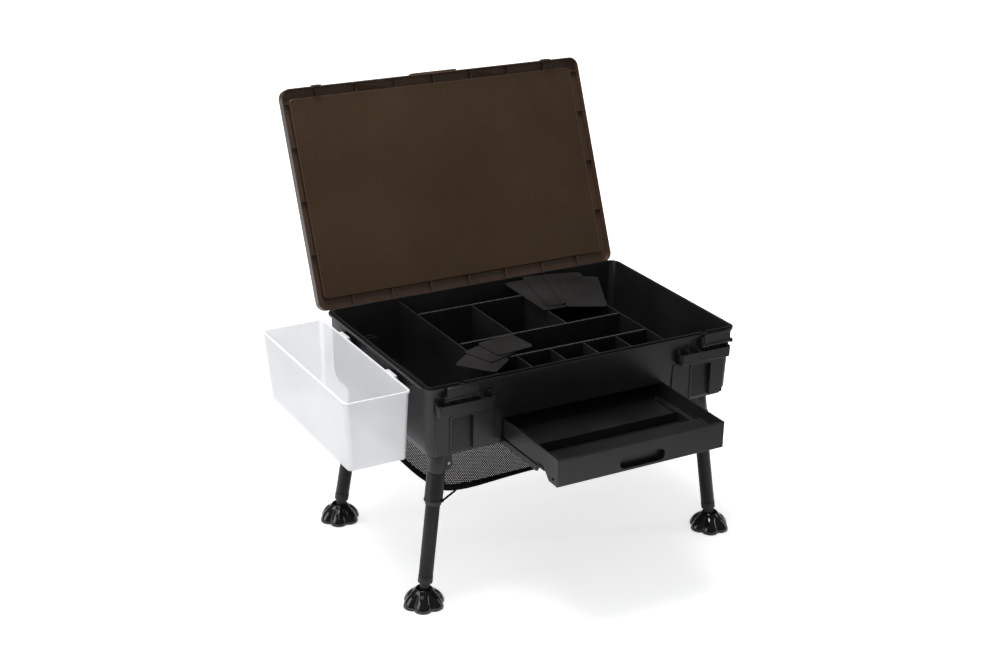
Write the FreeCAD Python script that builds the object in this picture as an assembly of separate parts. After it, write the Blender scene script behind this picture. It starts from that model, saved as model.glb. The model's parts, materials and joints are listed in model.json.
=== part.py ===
import FreeCAD, Part

import math
import os

# Fishing tackle cabinet: a case on four splayed telescopic legs, with a hinged lid, a drawer,
# a hang-on side bin and a mesh tray. Millimetres. It is modelled with X to the right along the
# front, Y to the back, Z up and the top of the rim's lip at Z = 0. The last step moves it so
# that the origin is at the bottom centre of the whole object's bounding box.

# ------------------------------------------------------------------ driving dimensions
# Case
CASE_WIDTH = 496.0
CASE_DEPTH = 317.0
CASE_HEIGHT = 106.0
CASE_WALL = 2.5
CASE_DRAFT = 2.5
CASE_CORNER = 11.0
CHAMFER_HEIGHT = 11.0
CHAMFER_INSET = 3.5
FLANGE_REACH = 4.0
FLANGE_TOP = -3.0
FLANGE_THICKNESS = 2.0
FLANGE_LIP_WIDTH = 1.2
FLANGE_LIP_HEIGHT = 1.5
INNER_WALL_X = 135.0
INNER_WALL = 2.0
DIVIDER_TOP = -4.5
SEAT_GAP = 0.2
MERGE = 1.0
BOTTOM_BORDER = 6.0
BAY_DOOR_DEPTH = 12.0

# Shallow pockets in the front wall: high slots beside the catches, panels above the ledges
POCKET_DEPTH = 1.5
SLOTS = (((-172.0, -155.0), (-14.0, -10.5)), ((171.0, 178.0), (-16.0, -10.0)))
PANEL_POCKET_X = (150.0, 168.0)
PANEL_POCKET_Z = (-24.0, -13.0)

# Middle insert
INSERT_RISE = 41.0
INSERT_FLOOR = 1.8
TONGUE = 0.8
TONGUE_FIT = 0.05
WALL_ROWS_Y = (95.0, -32.0, -102.5)
TOOTH_PITCH = 4.5
TOOTH_WIDTH = 2.3
TOOTH_DEPTH = 1.2
TOOTHED_WALL = 1.6
DIVIDER = 1.8
CROSS_DIVIDERS_X = (-45.0, 45.0)
FRONT_DIVIDERS_X = (-81.0, -27.0, 27.0, 81.0)
FRONT_GUIDE_REACH = 3.3
DIVIDER_LOWER = 0.5

# Left compartment slot for a divider plate
SIDE_SLOT_Y = 49.5
SIDE_SLOT_GAP = 7.4
SIDE_SLOT_RIB = 1.6
SIDE_SLOT_REACH = 21.5

# Front corners: raised pads with a tapering recess, and the tool ledges on them. Spans are
# measured in from the case's side, heights up from its bottom.
PAD_SPAN = (103.0, 12.0)
PAD_RISE = (5.0, 63.0)
PAD_PROUD = 1.2
RECESS_SPAN = (69.0, 36.0)
RECESS_RISE = 56.0
RECESS_DEPTH_TOP = 7.0
RECESS_DEPTH_BOTTOM = 3.0
RECESS_FRAME = 3.0
RECESS_FRAME_PROUD = 1.0
LEDGE_SPAN = (98.0, 10.0)
LEDGE_TOP = -25.0
LEDGE_HEIGHT = 16.0
LEDGE_REACH = 12.5
LEDGE_SLOPE_RISE = 7.0
LEDGE_SLOPE_REACH = 5.0
TOOL_HOLE = 12.0
TOOL_HOLE_PITCH = 17.0
TOOL_HOLE_START = 10.0
TOOL_HOLE_OUT = 4.8
TOOL_HOLES = 5
HOLE_CHAMFER = 0.7
LEDGE_CORNER = 5.0
LEDGE_SOFT_EDGE = 1.5

# Lid catches
CATCH_INSET = (47.0, 34.0)
CATCH_WIDTH = 45.0
CATCH_THICKNESS = 2.0
CATCH_TOP = -1.8
CATCH_PIN_Z = -17.0
CATCH_PIN_OUT = 8.7
CATCH_PIN = 2.4
CATCH_KNUCKLE = 5.2
CATCH_EAR = 3.0
CATCH_ROLL = 1.4
CATCH_EAR_MARGIN = 0.6
CATCH_SIDE_GAP = 0.5
CATCH_SKIRT_GAP = 1.1
CATCH_LIP_WIDTH = 24.0
CATCH_LIP_REACH = 0.25
CATCH_LIP_HEIGHT = 1.5

# Lid
LID_GAP = 1.0
LID_WALL = 1.6
LID_EDGE_Z = -2.5
LID_THICKNESS = 15.0
LID_CORNER = 14.0
LID_TOP_ROUND = 2.5
LID_SKIN = 2.5
PANEL_INSET = 11.0
PANEL_INSET_REAR = 15.0
PANEL_FRONT_EXTRA = 2.0
PANEL_UNDERSIDE = 3.5
PANEL_CORNER = 6.0
LID_RIB = 1.5
LID_RIB_FRONT_X = (-196.0, -131.0, -65.0, 0.0, 65.0, 131.0, 196.0)
LID_RIB_SIDE_Y = (-144.0, -80.0, 0.0, 80.0)
HOOK_X = (-197.0, 197.0)
HOOK_WIDTH = 10.0
HOOK_LOW_Z = -9.0
HOOK_BEAD = 0.5
HOOK_BEAD_HEIGHT = 1.8
HOOK_PAD_PROUD = 2.4
HOOK_PAD_Z = (1.0, 8.0)
HOOK_NOTCH = 8.0
GRIP_WIDTH = 80.0
GRIP_PROUD = 3.0
GRIP_Z = (2.0, 9.0)

# Hinge
HINGE_OUT = 5.2
HINGE_Z = -7.65
HINGE_PIN = 3.0
HINGE_RING = 7.2
HINGE_X = (-192.0, 0.0, 192.0)
HINGE_ARM_OFFSET = 20.0
HINGE_ARM_WIDTH = 14.0
HINGE_LUG_WIDTH = 7.8
HINGE_ARM_RISE = 5.0
HINGE_SIDE_GAP = 0.6
HINGE_PIN_EXTRA = 1.0
LID_OPEN_DEG = 113.2
RUNNING_CLEARANCE = 0.05

# Drawer. Rises are heights above the case's bottom.
DRAWER_OPEN = 143.0
DRAWER_LENGTH = 290.0
DRAWER_SIDE_GAP = 2.3
DRAWER_TOP_GAP = 0.8
DRAWER_WALL = 2.0
DRAWER_FLOOR_RISE = 16.0
DRAWER_BOTTOM_RISE = -1.0
RUNNER_THICKNESS = 4.0
RUNNER_START = 56.0
BLOCK_LENGTH = 36.0
BLOCK_CHAMFER = 13.0
BLOCK_WALL = 2.5
SHELF_LENGTH = 51.0
SHELF_TOP_RISE = 23.0
TROUGH_LENGTH = 43.0
TROUGH_FLOOR_RISE = 2.0
TROUGH_SIDE = 10.0
FRONT_STEP = 6.0
STOP_HOLE = 5.0
STOP_HOLE_Y = 13.0
STOP_HOLE_RISE = 6.3
PANEL_THICKNESS = 4.0
PANEL_PROUD = 3.0
PANEL_SIDE_GAP = 0.8
PANEL_FRAME = 0.5
PANEL_TOP_RISE = 38.0
PANEL_EDGE_ROUND = 1.2
GRIP_SLOT_WIDTH = 72.0
GRIP_SLOT_HEIGHT = 17.0
GRIP_SLOT_DEPTH = 9.0
GRIP_SLOT_RISE = 12.0
CUP_WALL = 1.2
CUP_CLEARANCE = 0.15
SMALL_BOX_WIDTH = 15.7
SMALL_BOX_LENGTH = 43.0
SMALL_RIB = 1.6
SMALL_RIB_HEIGHT = 4.0
KNOB_DIAMETER = 5.2
KNOB_HEIGHT = 7.0
RAIL_REACH = 3.8
RAIL_RISE = (8.0, 10.5)
RAIL_FRONT_Y = -121.0
RAIL_REAR_Y = 150.0
SLIDE_GAP = 0.4

# Side bin and its keepers
BIN_GAP = 5.5
BIN_TOP_WIDTH = 98.0
BIN_BOTTOM_WIDTH = 88.0
BIN_TOP_Z = -12.0
BIN_HEIGHT = 99.0
BIN_FRONT_Y = -131.0
BIN_TOP_LENGTH = 289.0
BIN_BOTTOM_LENGTH = 271.0
BIN_WALL = 2.0
BIN_CORNER = 8.0
BIN_BEAD = 1.4
BIN_BEAD_HEIGHT = 3.0
STRAP_Y = (-64.0, 88.0)
STRAP_WIDTH = 26.0
STRAP_DROP = 15.0
STRAP_THICKNESS = 2.0
KEEPER_WIDTH = 34.0
KEEPER_PLATE = 1.5
KEEPER_GAP = 0.4
KEEPER_DROP = 3.0
KEEPER_FLOOR = 2.0
STRAP_CLEARANCE = 0.6

# Legs. The tube sets the other diameters: each wall is measured out from its bore.
LEG_TOP_INSET = (33.2, 31.5)
LEG_SPREAD = (30.9, 14.8)
FLOOR_Z = -336.0
SOCKET_WALL = 1.7
SOCKET_LENGTH = 35.5
SPIGOT_WALL = 1.1
SPIGOT_LENGTH = 12.0
SLEEVE_WALL = 2.55
SLEEVE_LENGTH = 42.0
SLEEVE_RING_WALL = 3.2
SLEEVE_RING_LENGTH = 3.2
BUSH_WALL = 1.0
BUSH_LENGTH = 4.5
TUBE_DIAMETER = 20.2
TUBE_CLEARANCE = 0.2
TUBE_WALL = 1.6
TUBE_TOP = 8.0
TUBE_END = 188.0
COLLAR_PROUD = 0.3
COLLAR_LENGTH = 10.8
COLLAR_ROUND = 1.6
NECK_DIAMETER = 14.2
NECK_END = 209.0
BALL_DIAMETER = 11.0
BALL_HEIGHT = 14.0
BALL_CLEARANCE = 0.3
STEM_LENGTH = 16.0
STEM_DIAMETER = 9.0
STEM_END_GAP = 0.4
NECK_GAP = 0.3
LEG_SLIDE = 45.0
SCREW_HEAD = 4.4
SCREW_HEAD_HEIGHT = 1.4
SCREW_SHANK = 2.4
SCREW_OUT = 2.5
SCREW_DROP = 24.0
LUG_WIDTH = 9.0
LUG_OUT = 8.0
LUG_HEIGHT = 34.0
LUG_ROUND = 7.0
LUG_STATION = 13.0
TUBE_PLUG = 14.0

# Feet. The profile gives points of the dome as (in from the edge, down from the top).
FOOT_DIAMETER = 61.4
FOOT_HEIGHT = 25.0
FOOT_LOBES = 6
LOBE_DEPTH = 3.0
LOBE_GROOVE = 8.5
FOOT_HOLLOW = 1.5
FOOT_RING = 7.0
FOOT_PROFILE = ((18.2, 0.0), (14.2, 2.4), (7.5, 7.4), (2.5, 13.6), (0.4, 19.0), (0.0, 22.6))
FOOT_TURN = 60.0
GROOVE_TOP = 15.0
MOUTH = (5.0, 18.8)
MOUTH_START = 2.5

# Mesh tray
MESH_X = 208.0
MESH_Y = 114.0
MESH_Z = -178.0
MESH_THICKNESS = 1.5
MESH_CORNER = 26.0
HEM_WIDTH = 9.0
HEM_THICKNESS = 3.0
HEM_LAP = 1.0
HEM_CORNER_EXTRA = 4.0
CORD_DIAMETER = 2.0
CORD_LOOP_RISE = 4.6

# Loose spare dividers: centre x, centre y, angle of the short side from +X
PLATE = 1.5
PLATE_CORNER = 6.0
PLATE_GAP = 0.1
PLATE_START_Z = -4.2
PLATE_WIDTH = 61.0
LARGE_PLATE_LENGTH = 126.0
SMALL_PLATE_LENGTH = 52.0
LARGE_FAN = ((70.0, 84.5, -1.0), (92.6, 88.0, -12.5), (118.9, 79.6, -17.0), (124.0, 54.6, -25.6))
SMALL_FAN = ((-136.5, -105.0, -51.0), (-107.7, -80.7, 19.6), (-82.0, -72.6, 7.1))

# ------------------------------------------------------------------ values that follow
HALF_WIDTH = CASE_WIDTH / 2
HALF_DEPTH = CASE_DEPTH / 2
CASE_BOTTOM = -CASE_HEIGHT
INSERT_FLOOR_TOP = CASE_BOTTOM + INSERT_RISE
RECESS_TOP = CASE_BOTTOM + RECESS_RISE
PAD_X = (HALF_WIDTH - PAD_SPAN[0], HALF_WIDTH - PAD_SPAN[1])
PAD_Z = (-CASE_HEIGHT + PAD_RISE[0], -CASE_HEIGHT + PAD_RISE[1])
RECESS_X = (HALF_WIDTH - RECESS_SPAN[0], HALF_WIDTH - RECESS_SPAN[1])
LEDGE_X = (HALF_WIDTH - LEDGE_SPAN[0], HALF_WIDTH - LEDGE_SPAN[1])
LEDGE_FRONT_Y = -HALF_DEPTH - LEDGE_REACH
TOOL_HOLE_Y = -HALF_DEPTH - TOOL_HOLE_OUT
TOOL_HOLE_FIRST_X = LEDGE_X[0] + TOOL_HOLE_START
CATCH_X = (-HALF_WIDTH + CATCH_INSET[0], HALF_WIDTH - CATCH_INSET[1])
LEG_TOP_X = HALF_WIDTH - LEG_TOP_INSET[0]
LEG_TOP_Y = HALF_DEPTH - LEG_TOP_INSET[1]
LEG_FOOT_X = LEG_TOP_X + LEG_SPREAD[0]
LEG_FOOT_Y = LEG_TOP_Y + LEG_SPREAD[1]
FLANGE_X = HALF_WIDTH + FLANGE_REACH
FLANGE_Y = HALF_DEPTH + FLANGE_REACH
FLOOR_TOP = -CASE_HEIGHT + CASE_WALL
LID_X = FLANGE_X + LID_GAP + LID_WALL
LID_Y = FLANGE_Y + LID_GAP + LID_WALL
LID_TOP_Z = LID_EDGE_Z + LID_THICKNESS
HINGE_Y = FLANGE_Y + HINGE_OUT
BAY_X = INNER_WALL_X - INNER_WALL / 2
CATCH_PIN_Y = -HALF_DEPTH - CATCH_PIN_OUT
PAD_FACE_Y = -HALF_DEPTH + CASE_DRAFT * -RECESS_TOP / (CASE_HEIGHT - CHAMFER_HEIGHT) - PAD_PROUD
INSERT_BOTTOM = INSERT_FLOOR_TOP - INSERT_FLOOR
DIVIDER_HEIGHT = DIVIDER_TOP - INSERT_FLOOR_TOP
DRAWER_FACE_Y = -HALF_DEPTH - PANEL_PROUD + 1.5 - DRAWER_OPEN
DRAWER_X = BAY_X - DRAWER_SIDE_GAP
DRAWER_TOP_Z = INSERT_BOTTOM - DRAWER_TOP_GAP
DRAWER_FLOOR_Z = CASE_BOTTOM + DRAWER_FLOOR_RISE
DRAWER_BOTTOM_Z = CASE_BOTTOM + DRAWER_BOTTOM_RISE
SHELF_TOP_Z = CASE_BOTTOM + SHELF_TOP_RISE
TROUGH_FLOOR_Z = CASE_BOTTOM + TROUGH_FLOOR_RISE
STOP_HOLE_Z = CASE_BOTTOM + STOP_HOLE_RISE
PANEL_TOP_Z = CASE_BOTTOM + PANEL_TOP_RISE
GRIP_SLOT_Z = CASE_BOTTOM + GRIP_SLOT_RISE
RAIL_Z = (CASE_BOTTOM + RAIL_RISE[0], CASE_BOTTOM + RAIL_RISE[1])
SMALL_BOX_X = DRAWER_X - SMALL_BOX_WIDTH
DRAWER_FRONT_Y = DRAWER_FACE_Y + PANEL_THICKNESS
DRAWER_REAR_Y = DRAWER_FACE_Y + DRAWER_LENGTH
SHELF_REAR_Y = DRAWER_FACE_Y + SHELF_LENGTH
TROUGH_REAR_Y = SHELF_REAR_Y + TROUGH_LENGTH
COLLAR_END = TUBE_END + COLLAR_LENGTH
HEM_X = MESH_X + HEM_WIDTH - HEM_LAP
HEM_Y = MESH_Y + HEM_WIDTH - HEM_LAP
HEM_CORNER = MESH_CORNER + HEM_CORNER_EXTRA
TUBE_BORE = TUBE_DIAMETER + 2 * TUBE_CLEARANCE
SOCKET_DIAMETER = TUBE_BORE + 2 * SOCKET_WALL
SCREW_INSET = SOCKET_DIAMETER / 2 + SCREW_OUT
LUG_REACH = SOCKET_DIAMETER / 2 + LUG_OUT
SPIGOT_DIAMETER = TUBE_BORE + 2 * SPIGOT_WALL
SLEEVE_DIAMETER = TUBE_BORE + 2 * SLEEVE_WALL
SLEEVE_RING = TUBE_BORE + 2 * SLEEVE_RING_WALL
BUSH_DIAMETER = TUBE_BORE + 2 * BUSH_WALL
COLLAR_DIAMETER = TUBE_DIAMETER + 2 * COLLAR_PROUD
LEG_NAMES = ("front_left", "front_right", "rear_left", "rear_right")
LEG_SIGNS = ((-1, -1), (1, -1), (-1, 1), (1, 1))


# ------------------------------------------------------------------ helpers
def vec(x, y, z):
    return FreeCAD.Vector(x, y, z)


def block(x, y, z):
    """Box from its low and high values along each axis."""
    x0, x1 = sorted(x)
    y0, y1 = sorted(y)
    z0, z1 = sorted(z)
    return Part.makeBox(x1 - x0, y1 - y0, z1 - z0, vec(x0, y0, z0))


def cylinder(radius, start, end):
    return Part.makeCylinder(radius, (end - start).Length, start, end - start)


def rod_x(radius, x, y, z):
    """Cylinder along X between two x values."""
    x0, x1 = sorted(x)
    return Part.makeCylinder(radius, x1 - x0, vec(x0, y, z), vec(1, 0, 0))


def fused(shapes):
    return shapes[0].fuse(list(shapes[1:])).removeSplitter()


def rounded_wire(x, y, radius, z):
    """Rounded rectangle at height z from its low and high x and y values."""
    x0, x1 = x
    y0, y1 = y
    bend = radius * (1 - math.sqrt(0.5))
    arcs = (
        (vec(x1 - radius, y0, z), vec(x1 - bend, y0 + bend, z), vec(x1, y0 + radius, z)),
        (vec(x1, y1 - radius, z), vec(x1 - bend, y1 - bend, z), vec(x1 - radius, y1, z)),
        (vec(x0 + radius, y1, z), vec(x0 + bend, y1 - bend, z), vec(x0, y1 - radius, z)),
        (vec(x0, y0 + radius, z), vec(x0 + bend, y0 + bend, z), vec(x0 + radius, y0, z)),
    )
    edges = []
    for i in range(4):
        edges.append(Part.Arc(*arcs[i]).toShape())
        edges.append(Part.LineSegment(arcs[i][2], arcs[(i + 1) % 4][0]).toShape())
    return Part.Wire(edges)


def rounded_block(x, y, z, radius):
    face = Part.Face(rounded_wire(x, y, radius, z[0]))
    return face.extrude(vec(0, 0, z[1] - z[0]))


def pill_block(width, height, centre_z, y):
    """Stadium outline in the XZ plane, extruded along Y."""
    half = (width - height) / 2
    low, high = sorted(y)
    middle = block((-half, half), y, (centre_z - height / 2, centre_z + height / 2))
    ends = [
        Part.makeCylinder(height / 2, high - low, vec(x, low, centre_z), vec(0, 1, 0))
        for x in (-half, half)
    ]
    return fused([middle] + ends)


def profile_x(points_yz, x):
    """Closed outline of (y, z) points, extruded along X."""
    x0, x1 = sorted(x)
    points = [vec(x0, y, z) for y, z in points_yz]
    face = Part.Face(Part.makePolygon(points + points[:1]))
    return face.extrude(vec(x1 - x0, 0, 0))


def wall_lean(z):
    """How far the case's wall has leaned in at height z, above the bottom chamfer."""
    return CASE_DRAFT * (-z) / (CASE_HEIGHT - CHAMFER_HEIGHT)


def mirrored_x(shape):
    return shape.mirror(vec(0, 0, 0), vec(1, 0, 0))


# ------------------------------------------------------------------ case
def case_section(offset, z, inset):
    x = HALF_WIDTH - inset - offset
    y = HALF_DEPTH - inset - offset
    return rounded_wire((-x, x), (-y, y), CASE_CORNER - offset, z)


def case_solid(offset, top, bottom):
    """Leaning walls with a chamfered lower edge, offset inwards from the outside."""
    knee = -CASE_HEIGHT + CHAMFER_HEIGHT
    upper = [case_section(offset, top, wall_lean(top)), case_section(offset, knee, CASE_DRAFT)]
    share = (knee - bottom) / CHAMFER_HEIGHT
    lower = [upper[1], case_section(offset, bottom, CASE_DRAFT + CHAMFER_INSET * share)]
    return fused([Part.makeLoft(upper, True, True), Part.makeLoft(lower, True, True)])


def rim_flange():
    """Flat flange round the rim with a small upstand at its outer edge."""
    x, y = FLANGE_X, FLANGE_Y
    corner = CASE_CORNER + FLANGE_REACH
    plate = rounded_block(
        (-x, x), (-y, y), (FLANGE_TOP - FLANGE_THICKNESS, FLANGE_TOP), corner
    )
    upstand = rounded_block((-x, x), (-y, y), (FLANGE_TOP, FLANGE_TOP + FLANGE_LIP_HEIGHT), corner)
    w = FLANGE_LIP_WIDTH
    hollow = rounded_block(
        (-x + w, x - w), (-y + w, y - w), (FLANGE_TOP, FLANGE_TOP + FLANGE_LIP_HEIGHT), corner - w
    )
    return fused([plate, upstand.cut(hollow)])


def recess_wedge(grow, y_front):
    """Tapering recess in a front corner; grow makes the matching bulge inside the wall."""
    top = RECESS_TOP + grow
    below = -CASE_HEIGHT - MERGE
    points = (
        (y_front, top),
        (PAD_FACE_Y + RECESS_DEPTH_TOP + grow, top),
        (PAD_FACE_Y + RECESS_DEPTH_BOTTOM + grow, below),
        (y_front, below),
    )
    return profile_x(points, (RECESS_X[0] - grow, RECESS_X[1] + grow))


def corner_pad():
    """Raised pad of the right front corner, with the frame round its recess."""
    pad = block(PAD_X, (PAD_FACE_Y, -HALF_DEPTH + CASE_WALL + CASE_DRAFT), PAD_Z)
    vertical = [
        e for e in pad.Edges
        if abs(e.BoundBox.XLength) < 0.01 and e.BoundBox.YMax < PAD_FACE_Y + 0.01
    ]
    pad = pad.makeFillet(PAD_PROUD * 0.8, vertical)
    w = RECESS_FRAME
    frame = block(
        (RECESS_X[0] - w, RECESS_X[1] + w),
        (PAD_FACE_Y - RECESS_FRAME_PROUD, PAD_FACE_Y),
        (PAD_Z[0], RECESS_TOP + w),
    )
    corners = [
        e for e in frame.Edges if e.BoundBox.YLength > 0.5 and e.BoundBox.ZMin > RECESS_TOP
    ]
    frame = frame.makeFillet(w * 0.9, corners)
    return fused([pad, frame])


def hinge_lug(x):
    radius = HINGE_RING / 2
    span = (x - HINGE_LUG_WIDTH / 2, x + HINGE_LUG_WIDTH / 2)
    web = block(span, (HALF_DEPTH - CASE_WALL, HINGE_Y), (HINGE_Z - radius, HINGE_Z + radius))
    lug = fused([web, rod_x(radius, span, HINGE_Y, HINGE_Z)])
    return lug.cut(rod_x(HINGE_PIN / 2, span, HINGE_Y, HINGE_Z))


def catch_ear(x, top):
    """Ear that carries one end of a catch pin; x is its low and high side."""
    radius = CATCH_KNUCKLE / 2 + CATCH_EAR_MARGIN
    ear = block(x, (CATCH_PIN_Y, -HALF_DEPTH + CASE_WALL), (CATCH_PIN_Z - radius, top))
    ear = fused([ear, rod_x(radius, x, CATCH_PIN_Y, CATCH_PIN_Z)])
    return ear.cut(rod_x(CATCH_PIN / 2, x, CATCH_PIN_Y, CATCH_PIN_Z))


def catch_ears(centre):
    """Both ears of a catch. The one towards the middle is tall and ends the rolled edge."""
    inward = -1 if centre > 0 else 1
    reach = CATCH_WIDTH / 2 + CATCH_SIDE_GAP
    near = centre + inward * reach
    far = centre - inward * reach
    tall = catch_ear(sorted((near, near + inward * CATCH_EAR)), FLANGE_TOP - FLANGE_THICKNESS)
    low = catch_ear(sorted((far, far - inward * CATCH_EAR)), CATCH_PIN_Z + CATCH_KNUCKLE / 2)
    return [tall, low]


def front_guides():
    """Pairs of ribs inside the front wall that hold the front dividers."""
    guides = []
    offset = DIVIDER / 2 + SEAT_GAP
    for x in FRONT_DIVIDERS_X:
        for side in (-1, 1):
            near = x + side * offset
            guides.append(block(
                (near, near + side * TOOTH_DEPTH),
                (-HALF_DEPTH + CASE_WALL / 2, -HALF_DEPTH + CASE_WALL + FRONT_GUIDE_REACH),
                (INSERT_FLOOR_TOP, DIVIDER_TOP),
            ))
    return guides


def side_slot_ribs():
    """Two ribs on the left wall that hold a divider across the left compartment."""
    inner = -HALF_WIDTH + CASE_WALL
    ribs = []
    for side in (-1, 1):
        near = SIDE_SLOT_Y + side * SIDE_SLOT_GAP / 2
        ribs.append(block(
            (inner - MERGE, inner + SIDE_SLOT_REACH),
            (near, near + side * SIDE_SLOT_RIB),
            (FLOOR_TOP - MERGE, DIVIDER_TOP),
        ))
    return ribs


def front_pockets():
    """Shallow pockets in the front wall: a high slot by each catch, a panel over each ledge."""
    y = (-HALF_DEPTH - MERGE, -HALF_DEPTH + POCKET_DEPTH)
    pockets = [block(x, y, z) for x, z in SLOTS]
    panel = block(PANEL_POCKET_X, y, PANEL_POCKET_Z)
    return pockets + [panel, mirrored_x(panel)]


def outer_body():
    """Case with everything that stands out from its walls, before it is hollowed."""
    lug_x = HINGE_ARM_OFFSET - HINGE_ARM_WIDTH / 2 - HINGE_LUG_WIDTH / 2 - HINGE_SIDE_GAP
    lugs = [hinge_lug(x + side * lug_x) for x in HINGE_X for side in (-1, 1)]
    pads = [corner_pad(), mirrored_x(corner_pad())]
    ears = catch_ears(CATCH_X[0]) + catch_ears(CATCH_X[1])
    walls = case_solid(0.0, 0.0, -CASE_HEIGHT).cut(front_pockets())
    return fused([walls, rim_flange()] + pads + ears + lugs)


def cavity_ribs():
    """Guides, the drawer bay's side walls and the bulges behind the front recesses."""
    ribs = front_guides() + side_slot_ribs()
    for side in (-1, 1):
        x = side * INNER_WALL_X
        ribs.append(block(
            (x - INNER_WALL / 2, x + INNER_WALL / 2),
            (-HALF_DEPTH, HALF_DEPTH),
            (FLOOR_TOP - MERGE, DIVIDER_TOP),
        ))
        bulge = recess_wedge(CASE_WALL * 0.8, -HALF_DEPTH + MERGE)
        ribs.append(bulge if side > 0 else mirrored_x(bulge))
    inside = case_solid(CASE_WALL / 4, 0.0, -CASE_HEIGHT)
    return [rib.common(inside) for rib in ribs]


def bay_cuts():
    """Open bottom of the drawer bay and its doorway in the front wall."""
    below = -CASE_HEIGHT - MERGE
    border = CASE_WALL + BOTTOM_BORDER
    bottom = block(
        (-BAY_X, BAY_X), (-HALF_DEPTH + border, HALF_DEPTH - border), (below, FLOOR_TOP + MERGE)
    )
    doorway = block(
        (-BAY_X + PANEL_FRAME, BAY_X - PANEL_FRAME),
        (-HALF_DEPTH - 2 * PANEL_PROUD, -HALF_DEPTH + BAY_DOOR_DEPTH),
        (below, INSERT_BOTTOM - 0.1),
    )
    return [bottom, doorway]


def case_shell():
    inner = case_solid(CASE_WALL, 0.0, FLOOR_TOP)
    shell = outer_body().cut(inner.fuse(inner.translated(vec(0, 0, MERGE))))
    shell = fused([shell] + cavity_ribs())

    cuts = bay_cuts()
    fit = TONGUE_FIT
    for side in (-1, 1):
        wedge = recess_wedge(0.0, -HALF_DEPTH - 4 * PAD_PROUD)
        cuts.append(wedge if side > 0 else mirrored_x(wedge))
        cuts.append(block(
            (side * (BAY_X - 2 * fit), side * (BAY_X + TONGUE + fit)),
            (-HALF_DEPTH + CASE_WALL + 2 * MERGE, HALF_DEPTH - CASE_WALL - 2 * MERGE),
            (INSERT_BOTTOM - fit, INSERT_FLOOR_TOP + fit),
        ))
    for x in HOOK_X:
        cuts.append(block(
            (x - HOOK_NOTCH / 2, x + HOOK_NOTCH / 2),
            (-HALF_DEPTH, -HALF_DEPTH + CASE_WALL + MERGE),
            (LID_EDGE_Z, MERGE),
        ))
    return shell.cut(cuts)


# ------------------------------------------------------------------ middle insert and dividers
def toothed_outline(y):
    """Outline of a wall along X with teeth on both faces, slots centred on the pitch."""
    half_length = BAY_X - 0.1
    count = int((half_length - TOOTH_WIDTH) / TOOTH_PITCH)
    centres = [(i + 0.5) * TOOTH_PITCH for i in range(-count, count)]
    near = TOOTHED_WALL / 2
    far = near + TOOTH_DEPTH
    front = [(-half_length, y - near)]
    for c in centres:
        low, high = c - TOOTH_WIDTH / 2, c + TOOTH_WIDTH / 2
        front += [(low, y - near), (low, y - far), (high, y - far), (high, y - near)]
    front.append((half_length, y - near))
    back = [(x, 2 * y - yy) for x, yy in reversed(front)]
    return front + back


def divider_tray():
    x = BAY_X + TONGUE
    y = HALF_DEPTH - CASE_WALL - CASE_DRAFT
    floor = block((-x, x), (-y, y), (INSERT_BOTTOM, INSERT_FLOOR_TOP))
    walls = []
    for row in WALL_ROWS_Y:
        points = [vec(px, py, INSERT_FLOOR_TOP) for px, py in toothed_outline(row)]
        face = Part.Face(Part.makePolygon(points + points[:1]))
        walls.append(face.extrude(vec(0, 0, DIVIDER_HEIGHT)))
    return fused([floor] + walls)


def thin_divider(x, y0, y1):
    half = DIVIDER / 2
    top = DIVIDER_TOP - DIVIDER_LOWER
    plate = block((x - half, x + half), (y0, y1), (INSERT_FLOOR_TOP, top))
    top_edges = [e for e in plate.Edges if e.BoundBox.ZMin > top - 0.1 and e.BoundBox.YLength > 1.0]
    return plate.makeFillet(DIVIDER * 0.3, top_edges)


def inner_dividers():
    seat = TOOTHED_WALL / 2 + SEAT_GAP
    rows = {}
    for name, x in zip(("left", "right"), CROSS_DIVIDERS_X):
        rows["cross_divider_" + name] = thin_divider(x, WALL_ROWS_Y[1] + seat, WALL_ROWS_Y[0] - seat)
    front_end = -HALF_DEPTH + CASE_WALL + CASE_DRAFT * 0.85
    for i, x in enumerate(FRONT_DIVIDERS_X):
        rows["front_divider_%d" % (i + 1)] = thin_divider(x, front_end, WALL_ROWS_Y[2] - seat)
    return rows


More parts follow.
